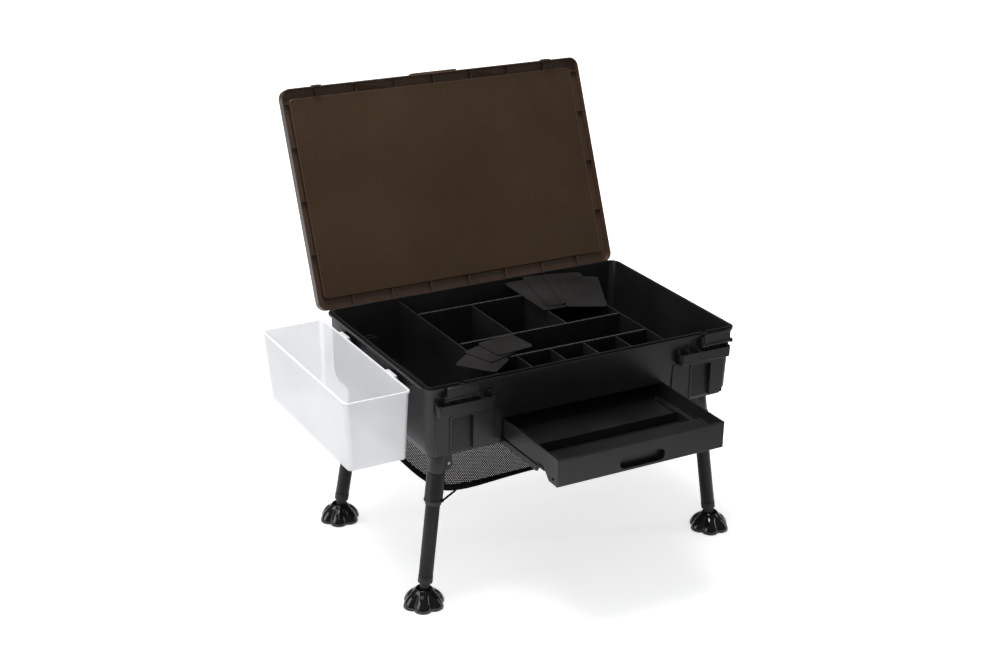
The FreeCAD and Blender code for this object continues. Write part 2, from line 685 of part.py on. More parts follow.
# ------------------------------------------------------------------ front ledges and catches
def tool_ledge():
    """Right tool ledge: a block with five upright tool holes, resting against the front wall."""
    z = (LEDGE_TOP - LEDGE_HEIGHT, LEDGE_TOP)
    inner_y = -HALF_DEPTH + 6.0
    slope_top = LEDGE_TOP + LEDGE_SLOPE_RISE
    outline = (
        (inner_y, z[0]),
        (LEDGE_FRONT_Y, z[0]),
        (LEDGE_FRONT_Y, LEDGE_TOP),
        (-HALF_DEPTH - LEDGE_SLOPE_REACH, LEDGE_TOP),
        (-HALF_DEPTH, slope_top),
        (inner_y, slope_top),
    )
    ledge = profile_x(outline, LEDGE_X)
    front_corners = [
        e for e in ledge.Edges if e.BoundBox.ZLength > 1.0 and e.BoundBox.YMax < LEDGE_FRONT_Y + 0.1
    ]
    ledge = ledge.makeFillet(LEDGE_CORNER, front_corners)
    lower_edge = [
        e for e in ledge.Edges if e.BoundBox.ZMax < z[0] + 0.1 and e.BoundBox.YMax < -HALF_DEPTH
    ]
    ledge = ledge.makeFillet(LEDGE_SOFT_EDGE, lower_edge)
    for i in range(TOOL_HOLES):
        base = vec(TOOL_HOLE_FIRST_X + i * TOOL_HOLE_PITCH, TOOL_HOLE_Y, z[0] - MERGE)
        hole_length = LEDGE_HEIGHT + LEDGE_SLOPE_RISE + 2 * MERGE
        ledge = ledge.cut(Part.makeCylinder(TOOL_HOLE / 2, hole_length, base))
        lip = vec(base.x, base.y, LEDGE_TOP - HOLE_CHAMFER)
        wide = TOOL_HOLE / 2 + HOLE_CHAMFER
        ledge = ledge.cut(Part.makeCone(TOOL_HOLE / 2, wide, HOLE_CHAMFER, lip))
    return ledge.cut([case_solid(0.0, 0.0, -CASE_HEIGHT), corner_pad()])


def catch_flap(centre):
    """Flap with a rolled top edge, an inner lip that holds the lid's hook, and a pin knuckle."""
    x = (centre - CATCH_WIDTH / 2, centre + CATCH_WIDTH / 2)
    inner_y = -LID_Y - CATCH_SKIRT_GAP
    outer_y = inner_y - CATCH_THICKNESS
    lip_z = HOOK_LOW_Z + HOOK_BEAD_HEIGHT + 0.7
    plate = block(x, (outer_y, inner_y), (CATCH_PIN_Z, CATCH_TOP))
    roll = rod_x(CATCH_ROLL, x, (outer_y + inner_y) / 2 - 0.4, CATCH_TOP)
    lip = block(
        (centre - CATCH_LIP_WIDTH / 2, centre + CATCH_LIP_WIDTH / 2),
        (inner_y, inner_y + CATCH_LIP_REACH),
        (lip_z, lip_z + CATCH_LIP_HEIGHT),
    )
    knuckle = rod_x(CATCH_KNUCKLE / 2, x, CATCH_PIN_Y, CATCH_PIN_Z)
    flap = fused([plate, roll, lip, knuckle])
    return flap.cut(rod_x(CATCH_PIN / 2 + RUNNING_CLEARANCE, x, CATCH_PIN_Y, CATCH_PIN_Z))


def catch_pins():
    reach = CATCH_WIDTH / 2 + CATCH_SIDE_GAP + CATCH_EAR
    pins = [rod_x(CATCH_PIN / 2, (x - reach, x + reach), CATCH_PIN_Y, CATCH_PIN_Z) for x in CATCH_X]
    return Part.makeCompound(pins)


# ------------------------------------------------------------------ lid
def lid_channel_ribs():
    low = PANEL_UNDERSIDE + MERGE
    high = LID_TOP_Z - LID_SKIN
    half = LID_RIB / 2
    sink = LID_WALL + 2 * MERGE
    front = (-LID_Y + LID_WALL / 2, -LID_Y + sink + PANEL_INSET)
    rear = (LID_Y - sink - PANEL_INSET_REAR, LID_Y - LID_WALL / 2)
    side = (LID_X - sink - PANEL_INSET, LID_X - LID_WALL / 2)
    ribs = []
    for x in LID_RIB_FRONT_X:
        ribs.append(block((x - half, x + half), front, (low, high)))
        ribs.append(block((x - half, x + half), rear, (low, high)))
    for y in LID_RIB_SIDE_Y:
        ribs.append(block(side, (y - half, y + half), (low, high)))
        ribs.append(block((-side[1], -side[0]), (y - half, y + half), (low, high)))
    return ribs


def hinge_arm(x):
    """Knuckle of the lid: an arm down from the skirt and a ring round the pin."""
    radius = HINGE_RING / 2
    span = (x - HINGE_ARM_WIDTH / 2, x + HINGE_ARM_WIDTH / 2)
    inner_y = LID_Y - LID_WALL + 0.1
    high = LID_EDGE_Z + HINGE_ARM_RISE
    arm = block(span, (inner_y, HINGE_Y + radius), (HINGE_Z, high))
    slope = profile_x(
        ((LID_Y + 0.2, high), (HINGE_Y + radius, high), (HINGE_Y + radius, LID_EDGE_Z)), span
    )
    return fused([arm.cut(slope), rod_x(radius, span, HINGE_Y, HINGE_Z)])


def lid_outer():
    x, y = LID_X, LID_Y
    outer = rounded_block((-x, x), (-y, y), (LID_EDGE_Z, LID_TOP_Z), LID_CORNER)
    rim_edges = [e for e in outer.Edges if e.BoundBox.ZMin > LID_TOP_Z - 0.01]
    return outer.makeFillet(LID_TOP_ROUND, rim_edges)


def lid_pan():
    """Skirted cover whose middle is dished down, with ribs across the channel round the dish."""
    ix, iy = LID_X - LID_WALL, LID_Y - LID_WALL
    hollow = rounded_block(
        (-ix, ix), (-iy, iy), (LID_EDGE_Z - MERGE, LID_TOP_Z - LID_SKIN), LID_CORNER - LID_WALL
    )
    px = ix - PANEL_INSET
    py = (-iy + PANEL_INSET + PANEL_FRONT_EXTRA, iy - PANEL_INSET_REAR)
    panel = rounded_block((-px, px), py, (PANEL_UNDERSIDE, LID_TOP_Z), PANEL_CORNER)
    soft = [e for e in panel.Edges if e.BoundBox.ZMax < PANEL_UNDERSIDE + 0.01]
    panel = panel.makeFillet(PANEL_CORNER / 4, soft)
    skin = LID_SKIN
    dish = rounded_block(
        (-px + skin, px - skin),
        (py[0] + skin, py[1] - skin),
        (PANEL_UNDERSIDE + skin, LID_TOP_Z + MERGE),
        PANEL_CORNER - skin,
    )
    return fused([lid_outer().cut(hollow), panel] + lid_channel_ribs()).cut(dish)


def lid_hook(x):
    """Tongue below the skirt with a bead that the catch snaps over, and a pad above it."""
    span = (x - HOOK_WIDTH / 2, x + HOOK_WIDTH / 2)
    skin = (-LID_Y, -LID_Y + LID_WALL)
    root = -LID_Y + 0.2
    return [
        block(span, skin, (HOOK_LOW_Z, LID_EDGE_Z + MERGE)),
        block(span, (-LID_Y - HOOK_BEAD, root), (HOOK_LOW_Z, HOOK_LOW_Z + HOOK_BEAD_HEIGHT)),
        block(span, (-LID_Y - HOOK_PAD_PROUD, root), HOOK_PAD_Z),
    ]


def lid_grip():
    x = (-GRIP_WIDTH / 2, GRIP_WIDTH / 2)
    bar = rounded_block(x, (-LID_Y - GRIP_PROUD, -LID_Y + 8.0), GRIP_Z, GRIP_PROUD)
    return bar.common(block(x, (-LID_Y - GRIP_PROUD, -LID_Y + MERGE), GRIP_Z))


def lid():
    """Lid modelled closed, then swung open about the hinge."""
    extras = [hinge_arm(hx + side * HINGE_ARM_OFFSET) for hx in HINGE_X for side in (-1, 1)]
    for hx in HOOK_X:
        extras += lid_hook(hx)
    body = fused([lid_pan(), lid_grip()] + extras)
    for hx in HINGE_X:
        reach = HINGE_ARM_OFFSET + HINGE_ARM_WIDTH
        body = body.cut(rod_x(HINGE_PIN / 2 + RUNNING_CLEARANCE, (hx - reach, hx + reach), HINGE_Y, HINGE_Z))
    return body.rotated(vec(0, HINGE_Y, HINGE_Z), vec(1, 0, 0), -LID_OPEN_DEG)


def hinge_pins():
    reach = HINGE_ARM_OFFSET + HINGE_ARM_WIDTH / 2 + HINGE_PIN_EXTRA
    pins = [rod_x(HINGE_PIN / 2, (x - reach, x + reach), HINGE_Y, HINGE_Z) for x in HINGE_X]
    return Part.makeCompound(pins)


# ------------------------------------------------------------------ drawer
def drawer_body():
    """Outside of the tray: pan, trough, front block and runners."""
    x = DRAWER_X
    trough_x = x - TROUGH_SIDE + DRAWER_WALL
    floor_bottom = DRAWER_FLOOR_Z - DRAWER_WALL
    front, rear = DRAWER_FRONT_Y, DRAWER_REAR_Y
    block_rear = DRAWER_FACE_Y + BLOCK_LENGTH
    block_top = SHELF_TOP_Z - 0.5
    solids = [
        block((-x, x), (front, rear), (floor_bottom, DRAWER_TOP_Z)),
        block(
            (-trough_x, trough_x),
            (SHELF_REAR_Y - DRAWER_WALL, TROUGH_REAR_Y + DRAWER_WALL),
            (TROUGH_FLOOR_Z - DRAWER_WALL, floor_bottom),
        ),
        profile_x((
            (front, DRAWER_BOTTOM_Z), (block_rear - BLOCK_CHAMFER, DRAWER_BOTTOM_Z),
            (block_rear, DRAWER_BOTTOM_Z + BLOCK_CHAMFER), (block_rear, block_top), (front, block_top),
        ), (-x, x)),
    ]
    for side in (-1, 1):
        solids.append(block(
            (side * x, side * (x - RUNNER_THICKNESS)),
            (DRAWER_FACE_Y + RUNNER_START, rear),
            (DRAWER_BOTTOM_Z, floor_bottom),
        ))
    return fused(solids)


def drawer_cuts():
    """Hollows of the tray, the seat of the front panel's cup, and the runners' grooves."""
    wide = (-DRAWER_X + DRAWER_WALL, DRAWER_X - DRAWER_WALL)
    trough = (-DRAWER_X + TROUGH_SIDE, DRAWER_X - TROUGH_SIDE)
    front, rear = DRAWER_FRONT_Y, DRAWER_REAR_Y
    block_end = DRAWER_FACE_Y + BLOCK_LENGTH - BLOCK_CHAMFER
    block_z = (DRAWER_BOTTOM_Z - MERGE, SHELF_TOP_Z - BLOCK_WALL)
    block_x = (-DRAWER_X + BLOCK_WALL, DRAWER_X - BLOCK_WALL)
    seat = 2 * (CUP_WALL + CUP_CLEARANCE)
    seat_y = (front - MERGE, DRAWER_FACE_Y + GRIP_SLOT_DEPTH + CUP_WALL + SLIDE_GAP)
    cuts = [
        block(wide, (SHELF_REAR_Y, rear - DRAWER_WALL), (DRAWER_FLOOR_Z, 0.0)),
        block(trough, (SHELF_REAR_Y, TROUGH_REAR_Y), (TROUGH_FLOOR_Z, 0.0)),
        block(wide, (front + MERGE, SHELF_REAR_Y + MERGE), (SHELF_TOP_Z, 0.0)),
        block(wide, (front - MERGE, front + 2 * MERGE), (PANEL_TOP_Z - FRONT_STEP, 0.0)),
        block(block_x, (front + BLOCK_WALL, block_end), block_z),
        pill_block(GRIP_SLOT_WIDTH + seat, GRIP_SLOT_HEIGHT + seat, GRIP_SLOT_Z, seat_y),
    ]
    groove = (RAIL_Z[0] - SLIDE_GAP, RAIL_Z[1] + SLIDE_GAP)
    reach = BAY_X - RAIL_REACH - SLIDE_GAP
    groove_y = (DRAWER_FACE_Y + RUNNER_START - MERGE, rear + MERGE)
    for side in (-1, 1):
        outside = side * (DRAWER_X + MERGE)
        cuts.append(block((outside, side * reach), groove_y, groove))
        hole = vec(outside, DRAWER_FACE_Y + STOP_HOLE_Y, STOP_HOLE_Z)
        cuts.append(Part.makeCylinder(STOP_HOLE / 2, STOP_HOLE, hole, vec(-side, 0, 0)))
    return cuts


def small_box_rib():
    """Low rib and knob at the right of the tray's floor."""
    rib_end = TROUGH_REAR_Y + SMALL_BOX_LENGTH
    low = DRAWER_FLOOR_Z - 0.5
    rib = block(
        (SMALL_BOX_X - SMALL_RIB / 2, SMALL_BOX_X + SMALL_RIB / 2),
        (TROUGH_REAR_Y - MERGE, rib_end),
        (low, DRAWER_FLOOR_Z + SMALL_RIB_HEIGHT),
    )
    place = vec(SMALL_BOX_X, rib_end + KNOB_DIAMETER / 2 - 0.6, low)
    knob = Part.makeCylinder(KNOB_DIAMETER / 2, KNOB_HEIGHT + 0.5, place)
    return [rib, knob]


def drawer_tray():
    """Shallow tray with side runners, a trough and shelf in front, modelled open."""
    return fused([drawer_body().cut(drawer_cuts())] + small_box_rib())


def drawer_front():
    """Front panel with a pill-shaped finger recess closed by a cup behind it."""
    x = BAY_X - PANEL_FRAME - PANEL_SIDE_GAP
    y = (DRAWER_FACE_Y, DRAWER_FRONT_Y)
    panel = block((-x, x), y, (DRAWER_BOTTOM_Z + PANEL_FRAME, PANEL_TOP_Z))
    front_edges = [e for e in panel.Edges if e.BoundBox.YMax < y[0] + 0.01]
    panel = panel.makeFillet(PANEL_EDGE_ROUND, front_edges)
    deep = y[0] + GRIP_SLOT_DEPTH
    wall = 2 * CUP_WALL
    cup_y = (y[1] - MERGE, deep + CUP_WALL)
    cup = pill_block(GRIP_SLOT_WIDTH + wall, GRIP_SLOT_HEIGHT + wall, GRIP_SLOT_Z, cup_y)
    recess = pill_block(GRIP_SLOT_WIDTH, GRIP_SLOT_HEIGHT, GRIP_SLOT_Z, (y[0] - MERGE, deep))
    return fused([panel, cup]).cut(recess)


def drawer_rail(side):
    """Ledge on the bay's side wall that the drawer's runner slides on."""
    x = (side * BAY_X, side * (BAY_X - RAIL_REACH))
    rail = block(x, (RAIL_FRONT_Y, RAIL_REAR_Y), RAIL_Z)
    nose = [
        e for e in rail.Edges
        if e.BoundBox.ZLength > 1.0 and e.BoundBox.YMax < RAIL_FRONT_Y + 0.1
        and abs(e.BoundBox.XMin) < BAY_X - 1.0
    ]
    return rail.makeFillet(RAIL_REACH * 0.4, nose)


# ------------------------------------------------------------------ side bin
def bin_section(grow, top, z):
    x1 = -FLANGE_X - BIN_GAP
    mid_x = x1 - BIN_TOP_WIDTH / 2
    width = (BIN_TOP_WIDTH if top else BIN_BOTTOM_WIDTH) + 2 * grow
    length = BIN_TOP_LENGTH if top else BIN_BOTTOM_LENGTH
    x = (mid_x - width / 2, mid_x + width / 2)
    y = (BIN_FRONT_Y - grow, BIN_FRONT_Y + length + grow)
    return rounded_wire(x, y, BIN_CORNER + grow, z)


def bin_taper(grow, bottom_z):
    """Solid between the bin's base and its rim, grown or shrunk sideways."""
    sections = [bin_section(grow, False, bottom_z), bin_section(grow, True, BIN_TOP_Z)]
    return Part.makeLoft(sections, True, True)


def bin_strap(y):
    """Flat strap from the bin's rim over the gap, with a leg that hangs in its keeper."""
    span = (y - STRAP_WIDTH / 2, y + STRAP_WIDTH / 2)
    wall_x = -FLANGE_X - BIN_GAP
    half = STRAP_THICKNESS / 2
    leg = (keeper_slot_x() - half, keeper_slot_x() + half)
    return [
        block((wall_x - BIN_WALL, leg[1]), span, (BIN_TOP_Z - STRAP_THICKNESS, BIN_TOP_Z)),
        block(leg, span, (BIN_TOP_Z - STRAP_DROP, BIN_TOP_Z)),
    ]


def side_bin():
    bottom_z = BIN_TOP_Z - BIN_HEIGHT
    outer = bin_taper(-BIN_BEAD, bottom_z)
    inner = bin_taper(-BIN_BEAD - BIN_WALL, bottom_z + BIN_WALL)
    bead_face = Part.Face(bin_section(0.0, True, BIN_TOP_Z - BIN_BEAD_HEIGHT))
    bead = bead_face.extrude(vec(0, 0, BIN_BEAD_HEIGHT))
    straps = bin_strap(STRAP_Y[0]) + bin_strap(STRAP_Y[1])
    hollow = inner.fuse(inner.translated(vec(0, 0, MERGE)))
    return fused([outer, bead] + straps).cut(hollow)


def keeper_slot_x():
    """Middle of the slot in which a bin strap's leg hangs, clear outside the flange."""
    return -FLANGE_X - STRAP_CLEARANCE - STRAP_THICKNESS / 2


def bin_keeper(y):
    """U-shaped bracket on the case's left wall, open at the top."""
    slot = keeper_slot_x()
    half = STRAP_THICKNESS / 2 + KEEPER_GAP
    low = BIN_TOP_Z - STRAP_DROP - KEEPER_DROP
    high = BIN_TOP_Z - STRAP_THICKNESS - KEEPER_GAP
    span = (y - KEEPER_WIDTH / 2, y + KEEPER_WIDTH / 2)
    body = block((slot - half - KEEPER_PLATE, -HALF_WIDTH + CASE_DRAFT + 3 * MERGE), span, (low, high))
    body = body.cut(block((slot - half, slot + half), span, (low + KEEPER_FLOOR, high + MERGE)))
    return body.cut(case_solid(0.0, 0.0, -CASE_HEIGHT))


# ------------------------------------------------------------------ legs
def leg_axis(signs):
    """Top point at the case's underside and the unit vector down the leg."""
    sx, sy = signs
    top = vec(sx * LEG_TOP_X, sy * LEG_TOP_Y, -CASE_HEIGHT)
    foot = vec(sx * LEG_FOOT_X, sy * LEG_FOOT_Y, FLOOR_Z)
    return top, (foot - top).normalize()


def station(signs, s):
    """Point on the leg's axis, s below the case's underside along the axis."""
    top, down = leg_axis(signs)
    return top + down * s


def leg_rod(signs, diameter, s0, s1):
    return cylinder(diameter / 2, station(signs, s0), station(signs, s1))


def socket_lug(signs):
    """Web from the socket towards the middle of the case, rounded at its lower inner corner."""
    centre = station(signs, LUG_STATION)
    inner_x = centre.x - signs[0] * LUG_REACH
    half = LUG_WIDTH / 2
    low = -CASE_HEIGHT - LUG_HEIGHT
    lug = block((centre.x, inner_x), (centre.y - half, centre.y + half), (low, -CASE_HEIGHT))
    corner = [
        e for e in lug.Edges
        if e.BoundBox.ZMax < low + 0.1 and abs(e.BoundBox.XMin - inner_x) < 0.1 and e.BoundBox.YLength > 1.0
    ]
    return lug.makeFillet(LUG_ROUND, corner)


def screw_place(signs):
    """Point on the front or back face of the socket's lug, and the outward direction."""
    centre = station(signs, LUG_STATION)
    x = centre.x - signs[0] * SCREW_INSET
    y = centre.y + signs[1] * LUG_WIDTH / 2
    return vec(x, y, -CASE_HEIGHT - SCREW_DROP), vec(0, signs[1], 0)


def screw_shank(signs):
    place, out = screw_place(signs)
    return Part.makeCylinder(SCREW_SHANK / 2, LUG_WIDTH - 1.5, place, -out)


def socket_screw(signs):
    place, out = screw_place(signs)
    head = Part.makeCylinder(SCREW_HEAD / 2, SCREW_HEAD_HEIGHT, place, out)
    return fused([head, screw_shank(signs)])


def leg_socket(signs):
    end = SOCKET_LENGTH
    body = leg_rod(signs, SOCKET_DIAMETER, -SPIGOT_LENGTH, end)
    body = body.cut(block((-HALF_WIDTH, HALF_WIDTH), (-HALF_DEPTH, HALF_DEPTH), (-CASE_HEIGHT, 0.0)))
    spigot = leg_rod(signs, SPIGOT_DIAMETER, end, end + SPIGOT_LENGTH)
    bore = leg_rod(signs, TUBE_BORE, TUBE_TOP - 2 * MERGE, end + SPIGOT_LENGTH + MERGE)
    return fused([body, socket_lug(signs), spigot]).cut([bore, screw_shank(signs)])


def leg_sleeve(signs):
    start = SOCKET_LENGTH
    end = start + SLEEVE_LENGTH
    tube = leg_rod(signs, SLEEVE_DIAMETER, start, end)
    ring = leg_rod(signs, SLEEVE_RING, end - SLEEVE_RING_LENGTH, end)
    bush = leg_rod(signs, BUSH_DIAMETER, end, end + BUSH_LENGTH)
    body = fused([tube, ring, bush])
    body = body.cut(leg_rod(signs, TUBE_BORE, start - MERGE, end + BUSH_LENGTH + MERGE))
    return body.cut(leg_rod(signs, SPIGOT_DIAMETER, start - MERGE, start + SPIGOT_LENGTH))


def leg_tube(signs):
    tube = leg_rod(signs, TUBE_DIAMETER, TUBE_TOP, TUBE_END)
    return tube.cut(leg_rod(signs, TUBE_DIAMETER - 2 * TUBE_WALL, TUBE_TOP - MERGE, TUBE_END + MERGE))


def leg_collar(signs):
    """End collar with a plug up into the tube and a bore for the foot's stem."""
    collar = leg_rod(signs, COLLAR_DIAMETER, TUBE_END, COLLAR_END)
    low_end = station(signs, COLLAR_END)
    low_edge = [
        e for e in collar.Edges if e.Length > 10.0 and (e.CenterOfMass - low_end).Length < 0.1
    ]
    collar = collar.makeFillet(COLLAR_ROUND, low_edge)
    plug = leg_rod(signs, TUBE_DIAMETER - 2 * TUBE_WALL, TUBE_END - TUBE_PLUG, TUBE_END)
    bore_top = COLLAR_END - STEM_LENGTH - STEM_END_GAP
    bore = leg_rod(signs, STEM_DIAMETER + 2 * RUNNING_CLEARANCE, bore_top, COLLAR_END + MERGE)
    return fused([collar, plug]).cut(bore)


def ball_centre(signs):
    foot = station(signs, 0.0)
    _, down = leg_axis(signs)
    drop = (-CASE_HEIGHT - FLOOR_Z - BALL_HEIGHT) / -down.z
    return foot + down * drop


def foot_stem(signs):
    """Stem that turns in the collar, with its visible neck and the ball at its end."""
    stem = leg_rod(signs, STEM_DIAMETER, COLLAR_END - STEM_LENGTH, COLLAR_END + MERGE)
    neck = leg_rod(signs, NECK_DIAMETER, COLLAR_END + NECK_GAP, NECK_END)
    centre = ball_centre(signs)
    shaft = cylinder(STEM_DIAMETER / 2 - 1.0, station(signs, NECK_END - 0.5), centre)
    ball = Part.makeSphere(BALL_DIAMETER / 2, centre)
    return fused([stem, neck, shaft, ball])


def foot_dome():
    """Turned dome before its lobes are cut, standing on Z = 0."""
    points = [vec(FOOT_DIAMETER / 2 - inset, 0, FOOT_HEIGHT - drop) for inset, drop in FOOT_PROFILE]
    curve = Part.BSplineCurve()
    curve.interpolate(points)
    rim = vec(points[-1].x, 0, 0)
    top = vec(0, 0, points[0].z)
    edges = [
        curve.toShape(),
        Part.makeLine(points[-1], rim),
        Part.makeLine(rim, vec(0, 0, 0)),
        Part.makeLine(vec(0, 0, 0), top),
        Part.makeLine(top, points[0]),
    ]
    return Part.Face(Part.Wire(edges)).revolve(vec(0, 0, 0), vec(0, 0, 1), 360)


def lobe_groove(index):
    """Leaning cylinder that cuts the valley between two lobes."""
    angle = math.radians((index + 0.5) * 360.0 / FOOT_LOBES + FOOT_TURN)
    out = vec(math.cos(angle), math.sin(angle), 0)
    start = out * (FOOT_DIAMETER / 2 + LOBE_GROOVE - LOBE_DEPTH) + vec(0, 0, -2 * MERGE)
    end = out * GROOVE_TOP + vec(0, 0, FOOT_HEIGHT + LOBE_GROOVE)
    return cylinder(LOBE_GROOVE, start, end)


def foot(signs):
    """Lobed dome with a flat ring underneath and a ball cup, upright on the floor."""
    underside = Part.makeCylinder(FOOT_DIAMETER / 2 - FOOT_RING, FOOT_HOLLOW, vec(0, 0, 0))
    cup = Part.makeSphere(BALL_DIAMETER / 2 + BALL_CLEARANCE, vec(0, 0, BALL_HEIGHT))
    mouth_height = FOOT_HEIGHT - BALL_HEIGHT - MERGE
    mouth = Part.makeCone(MOUTH[0], MOUTH[1], mouth_height, vec(0, 0, BALL_HEIGHT + MOUTH_START))
    grooves = [lobe_groove(i) for i in range(FOOT_LOBES)]
    body = foot_dome().cut(grooves + [underside, cup, mouth])
    centre = ball_centre(signs)
    return body.translated(vec(centre.x, centre.y, FLOOR_Z))


# ------------------------------------------------------------------ mesh tray
def cut_corner_wire(x, y, corner, z):
    cx, cy = x - corner, y - corner
    outline = ((-cx, -y), (cx, -y), (x, -cy), (x, cy), (cx, y), (-cx, y), (-x, cy), (-x, -cy))
    points = [vec(px, py, z) for px, py in outline]
    return Part.makePolygon(points + points[:1])


def mesh_tray():
    face = Part.Face(cut_corner_wire(MESH_X, MESH_Y, MESH_CORNER, MESH_Z - MESH_THICKNESS / 2))
    return face.extrude(vec(0, 0, MESH_THICKNESS))


def mesh_hem():
    """Binding folded over the mesh's edge all round."""
    low = MESH_Z - HEM_THICKNESS / 2
    outer = Part.Face(cut_corner_wire(HEM_X, HEM_Y, HEM_CORNER, low))
    inner = Part.Face(cut_corner_wire(MESH_X - HEM_LAP, MESH_Y - HEM_LAP, MESH_CORNER, low))
    thickness = vec(0, 0, HEM_THICKNESS)
    return outer.extrude(thickness).cut([inner.extrude(thickness), mesh_tray()])


def hem_eyelet(signs):
    """End of the hem's cut corner on the long side, where the elastic cord starts."""
    return vec(signs[0] * (HEM_X - HEM_CORNER), signs[1] * HEM_Y, MESH_Z)


def tray_cord(signs):
    """Elastic cord: a straight run from the hem's corner to a loop round the leg's sleeve."""
    _, down = leg_axis(signs)
    centre = station(signs, SOCKET_LENGTH + SLEEVE_LENGTH - CORD_LOOP_RISE)
    radius = SLEEVE_DIAMETER / 2 + CORD_DIAMETER / 2
    loop = Part.makeTorus(radius, CORD_DIAMETER / 2, centre, down)
    start = hem_eyelet(signs)
    flat = start - centre
    flat = flat - down * flat.dot(down)
    end = centre + flat.normalize() * radius
    run_start = start + (end - start).normalize() * CORD_DIAMETER * 0.6
    return fused([loop, cylinder(CORD_DIAMETER / 2, run_start, end)])


# ------------------------------------------------------------------ loose spare dividers
def spare_plate(place, length, level):
    x, y, angle = place
    z = PLATE_START_Z + level * (PLATE + PLATE_GAP)
    half_w, half_l = PLATE_WIDTH / 2, length / 2
    plate = rounded_block((-half_w, half_w), (-half_l, half_l), (0.0, PLATE), PLATE_CORNER)
    plate = plate.rotated(vec(0, 0, 0), vec(0, 0, 1), angle)
    return plate.translated(vec(x, y, z))


def spare_plates():
    plates = {}
    for i, place in enumerate(LARGE_FAN):
        plates["spare_divider_large_%d" % (i + 1)] = spare_plate(place, LARGE_PLATE_LENGTH, i)
    for i, place in enumerate(SMALL_FAN):
        plates["spare_divider_small_%d" % (i + 1)] = spare_plate(place, SMALL_PLATE_LENGTH, i)
    return plates


# ------------------------------------------------------------------ all nodes
def build_nodes():
    nodes = {"case_shell": case_shell(), "divider_tray": divider_tray()}
    nodes.update(inner_dividers())
    ledge = tool_ledge()
    nodes["tool_ledge_right"] = ledge.cut(catch_ears(CATCH_X[1]))
    nodes["tool_ledge_left"] = mirrored_x(ledge).cut(catch_ears(CATCH_X[0]))
    nodes["catch_left"] = catch_flap(CATCH_X[0])
    nodes["catch_right"] = catch_flap(CATCH_X[1])
    nodes["catch_pins"] = catch_pins()
    nodes["lid"] = lid()
    nodes["hinge_pins"] = hinge_pins()
    nodes["drawer_tray"] = drawer_tray()
    nodes["drawer_front"] = drawer_front()
    nodes["drawer_rail_left"] = drawer_rail(-1)
    nodes["drawer_rail_right"] = drawer_rail(1)
    nodes["side_bin"] = side_bin()
    nodes["bin_keeper_front"] = bin_keeper(STRAP_Y[0])
    nodes["bin_keeper_rear"] = bin_keeper(STRAP_Y[1])
    for name, signs in zip(LEG_NAMES, LEG_SIGNS):
        nodes["leg_socket_" + name] = leg_socket(signs)
        nodes["leg_sleeve_" + name] = leg_sleeve(signs)
        nodes["leg_tube_" + name] = leg_tube(signs)
        nodes["leg_collar_" + name] = leg_collar(signs)
        nodes["foot_stem_" + name] = foot_stem(signs)
        nodes["foot_" + name] = foot(signs)
    nodes["socket_screws"] = Part.makeCompound([socket_screw(signs) for signs in LEG_SIGNS])
    nodes["mesh_tray"] = mesh_tray()
    nodes["mesh_hem"] = mesh_hem()
    nodes["tray_cords"] = Part.makeCompound([tray_cord(signs) for signs in LEG_SIGNS])
    nodes.update(spare_plates())
    return nodes


def origin_shift(nodes):
    """Vector from the bottom centre of everything's bounding box to the origin."""
    whole = FreeCAD.BoundBox()
    for shape in nodes.values():
        whole.add(shape.optimalBoundingBox(False))
    return vec(-(whole.XMin + whole.XMax) / 2, -(whole.YMin + whole.YMax) / 2, -whole.ZMin)


def main():
    os.makedirs("parts", exist_ok=True)
    nodes = build_nodes()
    shift = origin_shift(nodes)
    for name, shape in nodes.items():
        shape.translated(shift).exportStep("parts/%s.step" % name)
    print("%d nodes, shift %.3f %.3f %.3f" % (len(nodes), shift.x, shift.y, shift.z))


main()
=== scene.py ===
import json
import math

import bmesh
import bpy
from mathutils import Matrix, Vector


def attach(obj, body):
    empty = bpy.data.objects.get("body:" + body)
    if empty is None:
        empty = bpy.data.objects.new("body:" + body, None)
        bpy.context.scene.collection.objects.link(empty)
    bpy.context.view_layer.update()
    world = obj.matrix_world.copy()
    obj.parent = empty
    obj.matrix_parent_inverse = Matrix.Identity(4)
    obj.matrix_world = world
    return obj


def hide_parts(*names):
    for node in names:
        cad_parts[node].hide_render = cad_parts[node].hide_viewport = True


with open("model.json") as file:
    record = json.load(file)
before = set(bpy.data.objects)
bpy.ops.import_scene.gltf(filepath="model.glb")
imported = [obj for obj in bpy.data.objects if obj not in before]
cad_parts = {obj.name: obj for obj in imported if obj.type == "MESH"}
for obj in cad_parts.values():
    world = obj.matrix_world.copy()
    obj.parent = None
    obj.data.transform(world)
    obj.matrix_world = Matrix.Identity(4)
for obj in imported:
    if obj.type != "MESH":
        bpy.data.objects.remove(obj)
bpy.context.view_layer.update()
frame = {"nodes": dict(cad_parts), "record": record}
nodes = frame["nodes"]

LEGS = {
    "front_left": (-1, -1),
    "front_right": (1, -1),
    "rear_left": (-1, 1),
    "rear_right": (1, 1),
}

# The middle of the case's rim, from which the measures below are taken, and the lid's hinge and opening
CASE_ORIGIN = Vector((0.04049, -0.00677, 0.336))
HINGE = Vector((0.0, 0.1677, -0.00765)) + CASE_ORIGIN
LID_OPEN = math.radians(113.2)

# Legs: the top of each axis, how far it spreads on its way to the floor, and the sleeve it runs through
CASE_HEIGHT = 0.106
FLOOR_Z = -0.336
LEG_TOP = (0.2148, 0.127)
LEG_SPREAD = (0.0309, 0.0148)
SLEEVE_RADIUS = 0.01285


# ------------------------------------------------------------------ camera
CAMERA_PLACE = Vector((-1.1877, -1.9851, 0.9191)) + CASE_ORIGIN
CAMERA_YAW = math.radians(29.83)
CAMERA_PITCH = math.radians(22.2)
CAMERA_ROLL = math.radians(1.19)
CAMERA_LENS = 61.65
SENSOR_WIDTH = 36.0


